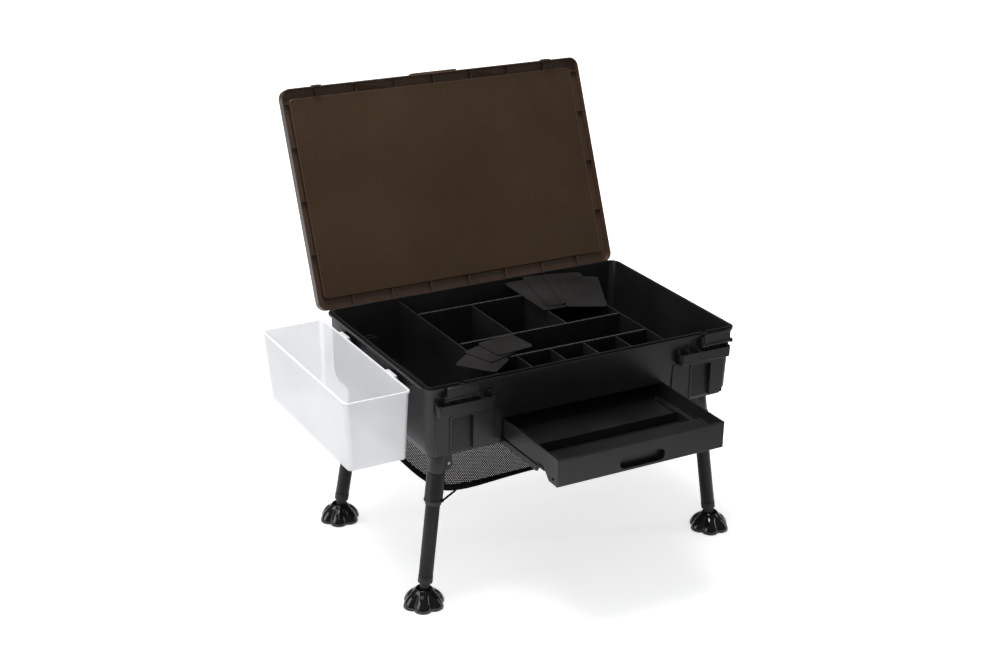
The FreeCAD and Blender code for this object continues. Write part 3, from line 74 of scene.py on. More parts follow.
def add_camera():
    """Camera at the photograph's place, turned and rolled as solved from it."""
    data = bpy.data.cameras.new("camera")
    data.lens = CAMERA_LENS
    data.sensor_width = SENSOR_WIDTH
    data.sensor_fit = "HORIZONTAL"
    data.clip_end = 50.0
    sy, cy = math.sin(CAMERA_YAW), math.cos(CAMERA_YAW)
    sp, cp = math.sin(CAMERA_PITCH), math.cos(CAMERA_PITCH)
    sr, cr = math.sin(CAMERA_ROLL), math.cos(CAMERA_ROLL)
    forward = Vector((sy * cp, cy * cp, -sp))
    right = Vector((cy, -sy, 0.0))
    up = right.cross(forward)
    tilted_right = right * cr + up * sr
    tilted_up = up * cr - right * sr
    turn = Matrix((tilted_right, tilted_up, -forward)).transposed()
    camera = bpy.data.objects.new("camera", data)
    camera.matrix_world = Matrix.Translation(CAMERA_PLACE) @ turn.to_4x4()
    bpy.context.scene.collection.objects.link(camera)
    bpy.context.scene.camera = camera


# ------------------------------------------------------------------ node graphs
class Graph:
    """A material's node tree, with short calls to add and join its nodes."""

    def __init__(self, name):
        self.material = bpy.data.materials.new(name)
        self.material.use_nodes = True
        self.tree = self.material.node_tree
        self.tree.nodes.clear()
        self.output = self.add("ShaderNodeOutputMaterial")
        self.shader = self.add("ShaderNodeBsdfPrincipled")
        self.join(self.shader.outputs[0], self.output.inputs["Surface"])
        self.place = self.add("ShaderNodeTexCoord").outputs["Object"]

    def add(self, kind, **settings):
        node = self.tree.nodes.new(kind)
        for key, value in settings.items():
            setattr(node, key, value)
        return node

    def join(self, source, target):
        self.tree.links.new(source, target)

    def put(self, target, value):
        """Links a socket, or sets a plain value."""
        if isinstance(value, bpy.types.NodeSocket):
            self.join(value, target)
        else:
            target.default_value = value

    def math(self, operation, a, b=0.0, clamp=False):
        node = self.add("ShaderNodeMath", operation=operation, use_clamp=clamp)
        self.put(node.inputs[0], a)
        self.put(node.inputs[1], b)
        return node.outputs[0]

    def noise(self, scale, detail=2.0, roughness=0.5, vector=None):
        node = self.add("ShaderNodeTexNoise")
        node.inputs["Scale"].default_value = scale
        node.inputs["Detail"].default_value = detail
        node.inputs["Roughness"].default_value = roughness
        self.join(vector or self.place, node.inputs["Vector"])
        return node.outputs["Fac"]

    def stretched_noise(self, scales, detail):
        """Noise with its own scale along each axis, for streaks."""
        node = self.add("ShaderNodeMapping")
        self.join(self.place, node.inputs["Vector"])
        node.inputs["Scale"].default_value = scales
        return self.noise(1.0, detail=detail, vector=node.outputs[0])

    def spread(self, value, low, high, out_low=0.0, out_high=1.0):
        """Maps low..high onto out_low..out_high and holds it there outside."""
        node = self.add("ShaderNodeMapRange")
        self.put(node.inputs["Value"], value)
        ends = {"From Min": low, "From Max": high, "To Min": out_low, "To Max": out_high}
        for socket, number in ends.items():
            node.inputs[socket].default_value = number
        return node.outputs["Result"]

    def mix(self, factor, a, b):
        node = self.add("ShaderNodeMix", data_type="RGBA")
        self.put(node.inputs["Factor"], factor)
        self.put(node.inputs["A"], a if isinstance(a, bpy.types.NodeSocket) else (*a, 1.0))
        self.put(node.inputs["B"], b if isinstance(b, bpy.types.NodeSocket) else (*b, 1.0))
        return node.outputs["Result"]

    def tint(self, value, dark, light, low=0.3, high=0.7):
        """Colour from dark to light as the value goes from low to high."""
        return self.mix(self.spread(value, low, high), dark, light)

    def split(self, vector):
        node = self.add("ShaderNodeSeparateXYZ")
        self.join(vector, node.inputs[0])
        return node.outputs

    def bump(self, height, distance, strength=1.0, under=None):
        node = self.add("ShaderNodeBump")
        node.inputs["Strength"].default_value = strength
        node.inputs["Distance"].default_value = distance
        self.join(height, node.inputs["Height"])
        if under is not None:
            self.join(under, node.inputs["Normal"])
        return node.outputs["Normal"]

    def surface(self, **values):
        """Links or sets the shader's own sockets by name, with _ for a space."""
        for key, value in values.items():
            if isinstance(value, tuple) and len(value) == 3:
                value = (*value, 1.0)
            self.put(self.shader.inputs[key.replace("_", " ")], value)


# ------------------------------------------------------------------ materials
GRAIN_SCALE = 1400.0
GRAIN_DEPTH = 0.00004
# Top of the divider insert's walls, and how far below it their painted highlight starts and is full
DIVIDER_TOP = -0.0045
HIGHLIGHT_DEPTHS = (0.0014, 0.0012)
# Where the lid's single slender wall begins, round its dish; outside it the colour carries painted light
# shining through
LID_CHANNEL_X = (0.2395, 0.2405)
LID_CHANNEL_Y = (0.1488, 0.1498)
# Cells per metre along x and y, for each of the two ways the netting's stitches run
NET_COURSES = (334.5, -69.0)
NET_WALES = (241.3, -262.6)
# Value of the net's pattern above which there is a hole, and the softness of the hole's edge
NET_HOLE = 0.87
NET_HOLE_EDGE = 0.06
# One wave of the hem tape's weave and of the cords' twist
WEAVE_PITCH = 0.0009
TWIST_PITCH = 0.0016


def moulded_plastic(name, dark, light, rough=(0.3, 0.42), shine=0.5):
    """Injection-moulded plastic: fine spark-eroded grain, faint flow clouds, uneven gloss."""
    g = Graph(name)
    clouds = g.noise(9.0, detail=4.0)
    fine = g.noise(GRAIN_SCALE)
    wave = g.noise(38.0, detail=1.0)
    scuffs = g.noise(160.0, detail=6.0, roughness=0.7)
    gloss = g.math("ADD", clouds, g.math("MULTIPLY", g.math("SUBTRACT", scuffs, 0.5), 0.5))
    g.surface(
        Base_Color=g.tint(clouds, dark, light),
        Roughness=g.spread(gloss, 0.3, 0.7, *rough),
        Normal=g.bump(fine, GRAIN_DEPTH, 1.0, g.bump(wave, 0.0004, 0.25)),
        Specular_IOR_Level=shine,
        Specular_Tint=(1.0, 0.95, 0.925),
    )
    return g


def insert_plastic():
    """Plastic of the divider insert, with a painted highlight along the upward tops of its walls."""
    g = moulded_plastic(
        "insert_plastic", (0.005, 0.005, 0.0055), (0.009, 0.009, 0.01), rough=(0.34, 0.46), shine=0.4
    )
    plain = g.shader.inputs["Base Color"].links[0].from_socket
    height = g.split(g.place)[2]
    upwards = g.split(g.add("ShaderNodeNewGeometry").outputs["Normal"])[2]
    top = CASE_ORIGIN.z + DIVIDER_TOP
    high = g.spread(height, top - HIGHLIGHT_DEPTHS[0], top - HIGHLIGHT_DEPTHS[1])
    # Painted highlight: upward faces at the walls' tops are coloured pale in place of the key lamp's gleam,
    # broken up by noise
    highlight_mask = g.math("MULTIPLY", high, g.spread(upwards, 0.8, 0.9))
    highlight_breakup = g.spread(g.noise(220.0, detail=4.0), 0.35, 0.6, 0.55, 1.0)
    painted_highlight = g.math("MULTIPLY", highlight_mask, highlight_breakup)
    g.surface(Base_Color=g.mix(painted_highlight, plain, (0.045, 0.043, 0.041)))
    return g


def leg_coating():
    """Satin powder coat over tube: orange peel and a little rubbing along the leg."""
    g = Graph("leg_coating")
    peel = g.noise(900.0, detail=1.0)
    clouds = g.noise(14.0, detail=3.0)
    streaks = g.stretched_noise((900.0, 900.0, 12.0), detail=3.0)
    g.surface(
        Base_Color=g.tint(clouds, (0.006, 0.006, 0.0062), (0.01, 0.0098, 0.01)),
        Roughness=g.spread(streaks, 0.25, 0.75, 0.24, 0.36),
        Normal=g.bump(peel, 0.00005),
        Specular_IOR_Level=0.24,
    )
    return g


def foot_gloss():
    """Polished black plastic of the feet, a little smeared."""
    g = Graph("foot_gloss")
    clouds = g.noise(40.0, detail=3.0)
    smears = g.noise(260.0, detail=5.0, roughness=0.65)
    g.surface(
        Base_Color=g.tint(clouds, (0.004, 0.004, 0.0042), (0.007, 0.007, 0.0072)),
        Roughness=g.spread(smears, 0.3, 0.7, 0.06, 0.15),
        Normal=g.bump(clouds, 0.0003, 0.3),
        Coat_Weight=0.6,
        Coat_Roughness=0.04,
    )
    return g


def closed_lid_place(g):
    """Object coordinates turned back to where the lid is closed, from the rim's centre."""
    turn = g.add("ShaderNodeVectorRotate", rotation_type="X_AXIS")
    g.join(g.place, turn.inputs["Vector"])
    turn.inputs["Center"].default_value = HINGE
    turn.inputs["Angle"].default_value = LID_OPEN
    shift = g.add("ShaderNodeVectorMath", operation="SUBTRACT")
    g.join(turn.outputs[0], shift.inputs[0])
    shift.inputs[1].default_value = CASE_ORIGIN
    return g.split(shift.outputs[0])


def smoked_plastic():
    """Smoked brown plastic, with painted light shining through it, lighter, where it is a single slender
    wall round the dish.
    """
    g = Graph("smoked_plastic")
    x, y, _ = closed_lid_place(g)
    outside_x = g.spread(g.math("ABSOLUTE", x), *LID_CHANNEL_X)
    outside_y = g.spread(g.math("ABSOLUTE", y), *LID_CHANNEL_Y)
    through_light_mask = g.math("MAXIMUM", outside_x, outside_y)
    clouds = g.noise(5.0, detail=3.0)
    panel = g.tint(clouds, (0.034, 0.019, 0.0095), (0.043, 0.0245, 0.013), 0.35, 0.65)
    # Painted light: the single wall round the dish is coloured lighter brown, as if lit through from behind
    through_lit_colour = g.tint(clouds, (0.052, 0.032, 0.021), (0.066, 0.040, 0.026), 0.35, 0.65)
    fine = g.noise(1200.0)
    smears = g.noise(30.0, detail=6.0, roughness=0.6)
    warp = g.noise(11.0, detail=1.0)
    g.surface(
        Base_Color=g.mix(through_light_mask, panel, through_lit_colour),
        Roughness=g.spread(smears, 0.3, 0.7, 0.2, 0.3),
        Normal=g.bump(fine, 0.00002, 1.0, g.bump(warp, 0.0015, 0.3)),
    )
    return g


def frosted_plastic():
    """Milky polypropylene: light passes through it and scatters."""
    g = Graph("frosted_plastic")
    clouds = g.noise(7.0, detail=3.0)
    fine = g.noise(1100.0)
    g.surface(
        Base_Color=g.tint(clouds, (0.80, 0.807, 0.825), (0.86, 0.863, 0.875)),
        Roughness=g.spread(g.noise(90.0, detail=4.0), 0.3, 0.7, 0.34, 0.46),
        Normal=g.bump(fine, 0.00003),
        Alpha=0.62,
    )
    return g


def pin_steel():
    """Drawn steel of the pins and screws, brushed along x."""
    g = Graph("pin_steel")
    lines = g.stretched_noise((20.0, 2500.0, 2500.0), detail=2.0)
    g.surface(
        Base_Color=g.mix(lines, (0.2, 0.2, 0.205), (0.3, 0.3, 0.305)),
        Roughness=g.spread(lines, 0.3, 0.7, 0.22, 0.38),
        Metallic=1.0,
    )
    return g


def net_fabric():
    """Knitted netting cut on the bias: long holes in a flat yarn ground."""
    g = Graph("net_fabric")
    x, y, _ = g.split(g.place)
    waves = []
    for along_x, along_y in (NET_COURSES, NET_WALES):
        turns = g.math("ADD", g.math("MULTIPLY", x, along_x), g.math("MULTIPLY", y, along_y))
        waves.append(g.math("SINE", g.math("MULTIPLY", turns, math.pi)))
    cell = g.math("ABSOLUTE", g.math("MULTIPLY", *waves))
    ragged = g.math("MULTIPLY", g.math("SUBTRACT", g.noise(2500.0, detail=1.0), 0.5), 0.15)
    edge = g.math("ADD", cell, ragged)
    fibres = g.noise(6000.0)
    g.surface(
        Base_Color=g.mix(fibres, (0.012, 0.0115, 0.011), (0.05, 0.046, 0.043)),
        Roughness=g.spread(fibres, 0.3, 0.7, 0.7, 0.9),
        Alpha=g.spread(edge, NET_HOLE - NET_HOLE_EDGE, NET_HOLE + NET_HOLE_EDGE, 1.0, 0.0),
        Normal=g.bump(edge, 0.0003, 0.6),
        Specular_IOR_Level=0.2,
    )
    return g


def binding_tape():
    """Woven tape folded over the net's edge."""
    g = Graph("binding_tape")
    x, y, _ = g.split(g.place)
    warp, weft = (g.math("SINE", g.math("MULTIPLY", way, 2 * math.pi / WEAVE_PITCH)) for way in (x, y))
    lint = g.noise(1500.0, detail=4.0)
    height = g.math("ADD", g.math("MULTIPLY", warp, weft), lint)
    g.surface(
        Base_Color=g.mix(lint, (0.004, 0.0038, 0.0036), (0.013, 0.0125, 0.012)),
        Roughness=g.spread(lint, 0.3, 0.7, 0.75, 0.95),
        Normal=g.bump(height, 0.0002, 0.7),
        Specular_IOR_Level=0.12,
    )
    return g


def braided_elastic():
    """Elastic in a braided cover, its strands running slantwise."""
    g = Graph("braided_elastic")
    x, y, z = g.split(g.place)
    slant = g.math("ADD", g.math("ADD", x, y), z)
    twist = g.math("SINE", g.math("MULTIPLY", slant, 2 * math.pi / TWIST_PITCH))
    lint = g.noise(3000.0, detail=3.0)
    g.surface(
        Base_Color=g.tint(twist, (0.004, 0.004, 0.004), (0.012, 0.012, 0.012), -1.0, 1.0),
        Roughness=g.spread(lint, 0.3, 0.7, 0.6, 0.85),
        Normal=g.bump(g.math("ADD", twist, lint), 0.0002, 0.8),
        Specular_IOR_Level=0.12,
    )
    return g


def make_materials():
    """Every material, by the name of its slot in the record."""
    made = {
        "black_abs": moulded_plastic("black_plastic", (0.006, 0.006, 0.0065), (0.011, 0.011, 0.012)),
        "insert_black": insert_plastic(),
        "divider_grey": moulded_plastic(
            "divider_plastic", (0.005, 0.005, 0.005), (0.010, 0.0095, 0.0092), rough=(0.4, 0.58), shine=0.36
        ),
        "leg_plastic": moulded_plastic(
            "leg_plastic", (0.006, 0.006, 0.0065), (0.01, 0.01, 0.0105), rough=(0.38, 0.5)
        ),
        "leg_black": leg_coating(),
        "foot_gloss": foot_gloss(),
        "smoked_lid": smoked_plastic(),
        "frosted_bin": frosted_plastic(),
        "steel_pin": pin_steel(),
        "mesh_fabric": net_fabric(),
        "hem_webbing": binding_tape(),
        "elastic": braided_elastic(),
    }
    return {slot: graph.material for slot, graph in made.items()}


# ------------------------------------------------------------------ CAD nodes that stay
EDGE_ROUND = 0.0004
EDGE_ROUNDS = {"case_shell": 0.0005, "lid": 0.0007, "side_bin": 0.0005}
KEEP_SHARP = (
    "divider_tray", "hinge_pins", "catch_pins", "socket_screws", "mesh_tray", "mesh_hem", "tray_cords",
)
WELD_DISTANCE = 0.00001
SHARP_ANGLE = math.radians(35.0)


def soften_edges(obj, width):
    """Welds the mesh's split corners and rounds its sharp edges a little."""
    weld = obj.modifiers.new("weld", "WELD")
    weld.merge_threshold = WELD_DISTANCE
    bevel = obj.modifiers.new("edge_round", "BEVEL")
    bevel.width = width
    bevel.segments = 2
    bevel.limit_method = "ANGLE"
    bevel.angle_limit = SHARP_ANGLE
    bevel.use_clamp_overlap = True


def dress_cad_nodes(materials):
    """Gives each CAD node its slot's material, and soft edges where it has room for them."""
    slots = {part["node"]: part["material_slot"] for part in frame["record"]["subparts"]}
    for name, obj in nodes.items():
        obj.data.materials.clear()
        obj.data.materials.append(materials[slots[name]])
        if name not in KEEP_SHARP:
            soften_edges(obj, EDGE_ROUNDS.get(name, EDGE_ROUND))


# ------------------------------------------------------------------ stage and light
FLOOR_HALF = 9.0
# How much the open floor is lifted, from near the object to far off, and between which distances
FLOOR_LIFT = (0.58, 1.1)
FLOOR_FADE = (0.55, 1.5)
# In gloss: the share of that lift that shows, and which way, between where and by how much it darkens
FLOOR_GLOSS = 0.28
FLOOR_DARK_WAY = (0.6, 0.8)
FLOOR_DARK_FROM = (0.6, 0.95)
FLOOR_DARKNESS = 0.5
WORLD_LIGHT = 0.35
WORLD_GLOSS = 0.1


def floor_card():
    """Card that is lit and shadowed, with a lift that makes its open parts white.

    In gloss it darkens towards the right front, where the studio's white card ends.
    """
    g = Graph("floor_card")
    mottle = g.noise(3.0)
    g.surface(Base_Color=g.mix(mottle, (0.78, 0.78, 0.785), (0.8, 0.8, 0.805)), Roughness=0.9)
    seen = g.add("ShaderNodeLightPath").outputs
    x, y, _ = g.split(g.place)
    right, front = (g.math("MULTIPLY", way, share) for way, share in zip((x, y), FLOOR_DARK_WAY))
    aside = g.math("SUBTRACT", right, front)
    near = g.spread(aside, *FLOOR_DARK_FROM, FLOOR_GLOSS, 0.0)
    rays = g.math("MAXIMUM", seen["Is Camera Ray"], g.math("MULTIPLY", seen["Is Glossy Ray"], near))
    rays = g.math("MAXIMUM", rays, seen["Is Transmission Ray"])
    away = g.add("ShaderNodeVectorMath", operation="LENGTH")
    g.join(g.place, away.inputs[0])
    strength = g.spread(away.outputs["Value"], *FLOOR_FADE, *FLOOR_LIFT)
    lift = g.add("ShaderNodeEmission")
    lift.inputs["Color"].default_value = (1.0, 1.0, 1.0, 1.0)
    g.join(g.math("MULTIPLY", rays, strength), lift.inputs["Strength"])
    lifted = g.add("ShaderNodeAddShader")
    g.join(g.shader.outputs[0], lifted.inputs[0])
    g.join(lift.outputs[0], lifted.inputs[1])
    dark = g.add("ShaderNodeEmission")
    dark.inputs["Strength"].default_value = 0.0
    dimmed = g.add("ShaderNodeMixShader")
    dimming = g.math("MULTIPLY", g.spread(aside, *FLOOR_DARK_FROM), FLOOR_DARKNESS)
    g.join(g.math("MULTIPLY", seen["Is Glossy Ray"], dimming), dimmed.inputs[0])
    g.join(lifted.outputs[0], dimmed.inputs[1])
    g.join(dark.outputs[0], dimmed.inputs[2])
    g.join(dimmed.outputs[0], g.output.inputs["Surface"])
    return g.material


def add_floor():
    """Flat floor."""
    mesh = bpy.data.meshes.new("floor")
    grid = bmesh.new()
    bmesh.ops.create_grid(grid, x_segments=8, y_segments=8, size=FLOOR_HALF)
    grid.to_mesh(mesh)
    grid.free()
    mesh.materials.append(floor_card())
    floor = bpy.data.objects.new("floor", mesh)
    bpy.context.scene.collection.objects.link(floor)


def add_world():
    """White to the eye, a soft grey room as light, and a darker one in gloss."""
    world = bpy.data.worlds.new("studio")
    bpy.context.scene.world = world
    world.use_nodes = True
    world.node_tree.nodes.clear()
    add, join = world.node_tree.nodes.new, world.node_tree.links.new
    seen = add("ShaderNodeLightPath").outputs
    strength = add("ShaderNodeMapRange")
    strength.inputs["To Min"].default_value = WORLD_LIGHT
    strength.inputs["To Max"].default_value = WORLD_GLOSS
    join(seen["Is Glossy Ray"], strength.inputs["Value"])
    room = add("ShaderNodeBackground")
    room.inputs["Color"].default_value = (0.95, 0.97, 1.0, 1.0)
    join(strength.outputs["Result"], room.inputs["Strength"])
    white = add("ShaderNodeBackground")
    white.inputs["Color"].default_value = (1.0, 1.0, 1.0, 1.0)
    white.inputs["Strength"].default_value = 1.0
    either = add("ShaderNodeMath")
    either.operation = "MAXIMUM"
    join(seen["Is Camera Ray"], either.inputs[0])
    join(seen["Is Transmission Ray"], either.inputs[1])
    choose = add("ShaderNodeMixShader")
    for socket, source in zip(choose.inputs, (either, room, white)):
        join(source.outputs[0], socket)
    join(choose.outputs[0], add("ShaderNodeOutputWorld").inputs["Surface"])


def add_area(name, place, target, size, power):
    """White rectangular lamp that points at its target."""
    data = bpy.data.lights.new(name, "AREA")
    data.shape = "RECTANGLE"
    data.size, data.size_y = size
    data.energy = power
    lamp = bpy.data.objects.new(name, data)
    bpy.context.scene.collection.objects.link(lamp)
    lamp.location = place
    lamp.rotation_euler = (Vector(target) - Vector(place)).to_track_quat("-Z", "Y").to_euler()
    return lamp


def add_lights():
    """Soft studio light: two lamps above, one at each side, and a fill that stays out of the gloss."""
    add_area("overhead", (-0.5, 0.5, 2.4), (0.0, 0.0, 0.2), (2.4, 2.0), 12.0)
    add_area("key", (-0.3, 0.1, 2.2), (0.0, 0.0, 0.2), (1.2, 0.9), 40.0)
    add_area("left_wall", (-2.6, 0.3, 1.2), (0.0, 0.0, 0.25), (1.6, 1.8), 19.0)
    add_area("right_strip", (2.2, -0.9, 0.9), (0.0, 0.0, 0.1), (0.25, 1.4), 4.0)
    fill = add_area("front_fill", (-1.2, -2.6, 1.3), (0.0, 0.0, 0.25), (1.6, 1.2), 16.0)
    fill.visible_glossy = False


# ------------------------------------------------------------------ new pieces
def new_piece(name, points, faces, material, body):
    """Mesh object that rides a body and takes its finish from a material slot."""
    mesh = bpy.data.meshes.new(name)
    mesh.from_pydata([tuple(p) for p in points], [], faces)
    mesh.polygons.foreach_set("use_smooth", [True] * len(mesh.polygons))
    mesh.materials.append(material)
    mesh.update()
    obj = bpy.data.objects.new(name, mesh)
    bpy.context.scene.collection.objects.link(obj)
    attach(obj, body)
    return obj


def ring_faces(rings, count, closed=True):
    """Quads between rings of count points each; closed joins the last ring to the first."""
    faces = []
    last = rings if closed else rings - 1
    for r in range(last):
        a, b = r * count, ((r + 1) % rings) * count
        for i in range(count):
            k = (i + 1) % count
            faces.append((a + i, a + k, b + k, b + i))
    return faces


# ------------------------------------------------------------------ soft tray under the case
# The net: half its size and its height, how its corners are pulled in and droop, and its sag
MESH_HALF = (0.208, 0.114)
MESH_Z = -0.178
MESH_PINCH = (0.020, 0.014)
MESH_PINCH_POWER = (4, 10)
CORNER_DROOP = 0.004
MESH_SAG = 0.006
NET_CELLS = (96, 56)
# The tape round it: its size, its lap over the net, and its tilt down at the corners and midway
HEM_WIDTH = 0.009
HEM_LAP = 0.001
HEM_THICKNESS = 0.0026
HEM_CORNER_TILT = math.radians(60.0)
HEM_MIDDLE_TILT = math.radians(-8.0)
HEM_STEPS = 72
# The cords: where each leaves the hem, where down the leg it ends, and how it lies on the sleeve there
CORD_DIAMETER = 0.0030
CORD_FROM_CORNER = 0.95
CORD_HEM_OUT = 0.0046
CORD_HEM_DROP = 0.0062
CORD_STATION = 0.0729
CORD_CLEARANCE = 0.0004
CORD_WRAP = math.radians(12.0)
CORD_STRAIGHT = 6 * CORD_DIAMETER
# The knots: size, lumps round the knot with their height, and their twist along it
KNOT_RADIUS = 0.0022
KNOT_LUMPS = 3.0
KNOT_LUMP_HEIGHT = 0.14
KNOT_TWIST = 2.0


def net_point(u, v):
    """Point of the hung net for u and v from -1 to 1, its corners pulled in by the cords."""
    x = u * (MESH_HALF[0] - MESH_PINCH[0] * abs(v) ** MESH_PINCH_POWER[0])
    y = v * (MESH_HALF[1] - MESH_PINCH[1] * abs(u) ** MESH_PINCH_POWER[1])
    belly = (1.0 - u * u) * (1.0 - v * v)
    z = MESH_Z - MESH_SAG * belly - CORNER_DROOP * (u * v) ** 4
    return Vector((x, y, z)) + CASE_ORIGIN


def net_sheet(material):
    """The net, as a grid of points over its whole width and depth."""
    across, along = NET_CELLS
    points = [
        net_point(2.0 * i / across - 1.0, 2.0 * j / along - 1.0)
        for j in range(along + 1)
        for i in range(across + 1)
    ]
    faces = []
    for j in range(along):
        for i in range(across):
            a = j * (across + 1) + i
            faces.append((a, a + 1, a + across + 2, a + across + 1))
    return new_piece("net_sheet", points, faces, material, "case")


def net_edge():
    """Points round the net's edge with how near each is to a corner, 0 to 1."""
    side = [2.0 * i / HEM_STEPS - 1.0 for i in range(HEM_STEPS)]
    walk = [(t, -1.0) for t in side] + [(1.0, t) for t in side]
    walk += [(-t, 1.0) for t in side] + [(-1.0, -t) for t in side]
    return [(net_point(u, v), abs(u * v) ** 3) for u, v in walk]


def hem_profile():
    """Rounded outline of the folded tape: (outwards, up)."""
    half = HEM_THICKNESS / 2
    outer = HEM_WIDTH - HEM_LAP
    return (
        (-HEM_LAP, -half), (outer - half, -half), (outer - half * 0.3, -half * 0.7),
        (outer, 0.0), (outer - half * 0.3, half * 0.7), (outer - half, half), (-HEM_LAP, half),
        (-HEM_LAP - half * 0.5, 0.0),
    )


def net_hem(material):
    """Tape bound over the net's edge, twisted down towards the corners."""
    edge = net_edge()
    count = len(edge)
    profile = hem_profile()
    points = []
    for i in range(count):
        place, corner = edge[i]
        ahead = edge[(i + 2) % count][0] - edge[i - 2][0]
        out = Vector((ahead.y, -ahead.x, 0.0)).normalized()
        tilt = HEM_MIDDLE_TILT + (HEM_CORNER_TILT - HEM_MIDDLE_TILT) * corner
        for reach, rise in profile:
            across = reach * math.cos(tilt) + rise * math.sin(tilt)
            up = rise * math.cos(tilt) - reach * math.sin(tilt)
            points.append(place + out * across + Vector((0.0, 0.0, up)))
    return new_piece("net_hem", points, ring_faces(count, len(profile)), material, "case")


def leg_point(signs, station):
    """Point on a leg's axis, so far along it below the case's underside, and the axis."""
    side, front = signs
    axis = Vector((side * LEG_SPREAD[0], front * LEG_SPREAD[1], FLOOR_Z + CASE_HEIGHT)).normalized()
    top = Vector((side * LEG_TOP[0], front * LEG_TOP[1], -CASE_HEIGHT))
    return top + axis * station + CASE_ORIGIN, axis


def cord_line(signs):
    """Control points: the hem's corner, one that keeps the taut run straight, the turn, the knot."""
    start = net_point(signs[0] * CORD_FROM_CORNER, signs[1])
    start += Vector((0.0, signs[1] * CORD_HEM_OUT, -CORD_HEM_DROP))
    centre, axis = leg_point(signs, CORD_STATION)
    radius = SLEEVE_RADIUS + CORD_DIAMETER / 2 + CORD_CLEARANCE
    flat = start - centre
    flat -= axis * flat.dot(axis)
    near = flat.normalized()
    across = axis.cross(near)
    touch = math.acos(radius / flat.length)
    turn, last = touch + CORD_WRAP / 2, touch + CORD_WRAP
    corner = near * math.cos(turn) + across * math.sin(turn)
    corner = centre + corner * radius / math.cos(CORD_WRAP / 2)
    knot = centre + (near * math.cos(last) + across * math.sin(last)) * radius
    straight = corner + (start - corner).normalized() * CORD_STRAIGHT
    return [start, straight, corner, knot]


def elastic_cord(name, signs, material):
    """Taut cord from the hem's corner to its knot at the leg's sleeve."""
    points = cord_line(signs)
    data = bpy.data.curves.new("elastic_cord_" + name, "CURVE")
    data.dimensions = "3D"
    data.bevel_depth = CORD_DIAMETER / 2
    data.bevel_resolution = 3
    data.use_fill_caps = True
    line = data.splines.new("NURBS")
    line.points.add(len(points) - 1)
    for point, place in zip(line.points, points):
        point.co = (*place, 1.0)
    line.order_u = 3
    line.use_endpoint_u = True
    data.materials.append(material)
    cord = bpy.data.objects.new("elastic_cord_" + name, data)
    bpy.context.scene.collection.objects.link(cord)
    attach(cord, "case")
    knot = cord_knot(name, points[-1], material)
    return cord


def cord_knot(name, place, material):
    """Overhand knot at the cord's end, as a lumpy bead."""
    bead = bmesh.new()
    bmesh.ops.create_icosphere(bead, subdivisions=3, radius=KNOT_RADIUS)
    for vert in bead.verts:
        turn = KNOT_LUMPS * math.atan2(vert.co.y, vert.co.x) + vert.co.z / KNOT_RADIUS * KNOT_TWIST
        vert.co *= 1.0 + KNOT_LUMP_HEIGHT * math.sin(turn)
    points = [vert.co + place for vert in bead.verts]
    faces = [[vert.index for vert in face.verts] for face in bead.faces]
    bead.free()
    return new_piece("cord_knot_" + name, points, faces, material, "case")


def flat_area(points):
    """Area inside a closed line of points, seen from above."""
    pairs = zip(points, points[1:] + points[:1])
    return abs(sum(a.x * b.y - b.x * a.y for a, b in pairs)) / 2


def hang_tray(materials):
    """Net, hem and cords, in place of the CAD's stiff ones."""
    net = net_sheet(materials["mesh_fabric"])
    hem = net_hem(materials["hem_webbing"])
    cords = [elastic_cord(name, signs, materials["elastic"]) for name, signs in LEGS.items()]
    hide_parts("mesh_tray")
    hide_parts("mesh_hem")
    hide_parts("tray_cords")
    flat_area([place for place, _ in net_edge()])


# ------------------------------------------------------------------ feet
FOOT_LOBES = 6
FOOT_POINTS = 144
# Each lobe's arc in a ring of radius 1: its centre's distance from the middle, and its own radius
LOBE_CENTRE = 0.584
LOBE_RADIUS = 0.416
BALL_HEIGHT = 0.014
# Depth of the hollow underneath, and of the mouth's bottom below its last ring
FOOT_HOLLOW = 0.0015
MOUTH_DIP = 0.0006
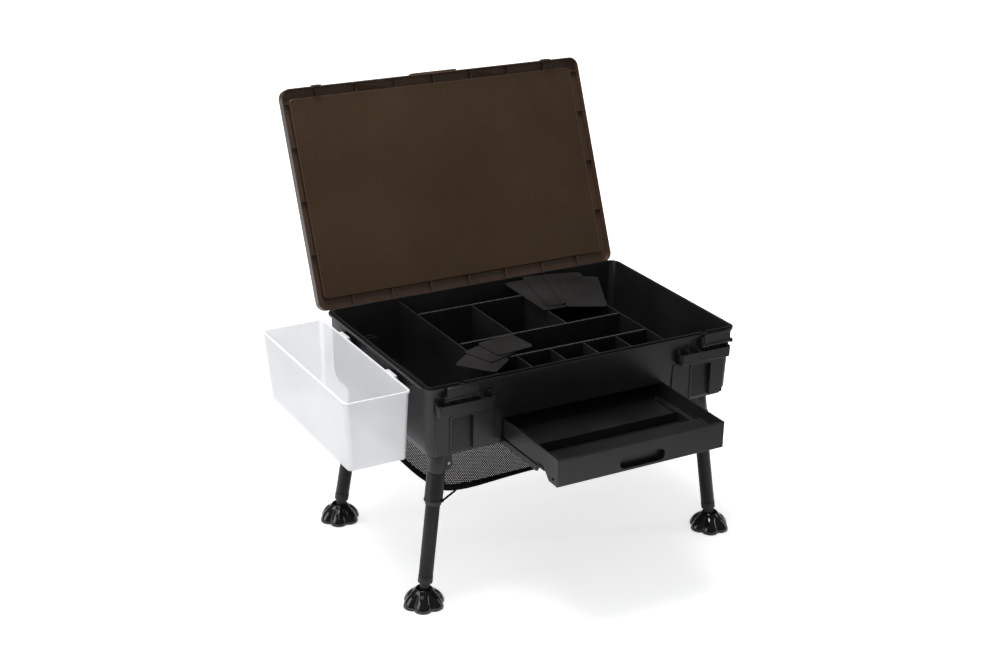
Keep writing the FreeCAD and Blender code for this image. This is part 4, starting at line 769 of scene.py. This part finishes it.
# (radius, height, how strongly the lobes show) from the mouth to the ground
FOOT_OUTSIDE = (
    (0.0106, 0.0266, 0.0), (0.0113, 0.0263, 0.0), (0.0124, 0.0250, 0.05), (0.0137, 0.0237, 0.1),
    (0.0150, 0.0225, 0.25), (0.0168, 0.0211, 0.60), (0.0193, 0.0193, 0.95), (0.0219, 0.0171, 1.15),
    (0.0244, 0.0147, 1.22), (0.0266, 0.0118, 1.20), (0.0285, 0.0088, 1.12), (0.0298, 0.0057, 1.02),
    (0.0306, 0.0029, 0.95), (0.0304, 0.0010, 0.90), (0.0294, 0.0001, 0.88), (0.0279, 0.0, 0.88),
)
FOOT_UNDERSIDE = ((0.0160, 0.0, 0.0), (0.0158, FOOT_HOLLOW, 0.0), (0.0040, FOOT_HOLLOW, 0.0))
FOOT_MOUTH = (
    (0.0103, 0.0262, 0.0), (0.0099, 0.0223, 0.0), (0.0073, 0.0202, 0.0), (0.0060, 0.0172, 0.0),
    (0.0057, 0.0155, 0.0), (0.0058, 0.0140, 0.0), (0.0052, 0.0114, 0.0), (0.0030, 0.0090, 0.0),
)


def lobed_ring(radius, height, depth, centre):
    """One closed ring of points: six round lobes that meet in sharp valleys."""
    ring = []
    half = math.pi / FOOT_LOBES
    for i in range(FOOT_POINTS):
        angle = 2 * math.pi * i / FOOT_POINTS
        off = (angle + half) % (2 * half) - half
        side = LOBE_CENTRE * math.sin(off)
        lobe = LOBE_CENTRE * math.cos(off) + math.sqrt(LOBE_RADIUS ** 2 - side ** 2)
        r = radius * (1.0 - depth * (1.0 - lobe))
        ring.append(centre + Vector((r * math.cos(angle), r * math.sin(angle), height)))
    return ring


def lobed_foot(name, signs, material):
    """Closed lobed dome: mouth round the ball, outside and hollow underside."""
    drop = -CASE_HEIGHT - FLOOR_Z - BALL_HEIGHT
    ball, axis = leg_point(signs, 0.0)
    ball += axis * (drop / -axis.z)
    centre = Vector((ball.x, ball.y, CASE_ORIGIN.z + FLOOR_Z))
    rows = list(reversed(FOOT_MOUTH)) + list(FOOT_OUTSIDE) + list(FOOT_UNDERSIDE)
    points = []
    for radius, height, depth in rows:
        points += lobed_ring(radius, height, depth, centre)
    faces = ring_faces(len(rows), FOOT_POINTS, closed=False)
    top, bottom = len(points), len(points) + 1
    for height in (FOOT_MOUTH[-1][1] - MOUTH_DIP, FOOT_HOLLOW):
        points.append(centre + Vector((0.0, 0.0, height)))
    last = (len(rows) - 1) * FOOT_POINTS
    for i in range(FOOT_POINTS):
        k = (i + 1) % FOOT_POINTS
        faces.append((k, i, top))
        faces.append((last + i, last + k, bottom))
    foot = new_piece("lobed_foot_" + name, points, faces, material, "foot_" + name)
    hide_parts("foot_" + name)


def build_all():
    """The object: CAD nodes that stay, and the soft tray and feet that replace theirs."""
    materials = make_materials()
    dress_cad_nodes(materials)
    hang_tray(materials)
    for name, signs in LEGS.items():
        lobed_foot(name, signs, materials["foot_gloss"])


add_camera()
build_all()
add_world()
add_floor()
add_lights()

bpy.context.scene.view_settings.view_transform = "Standard"
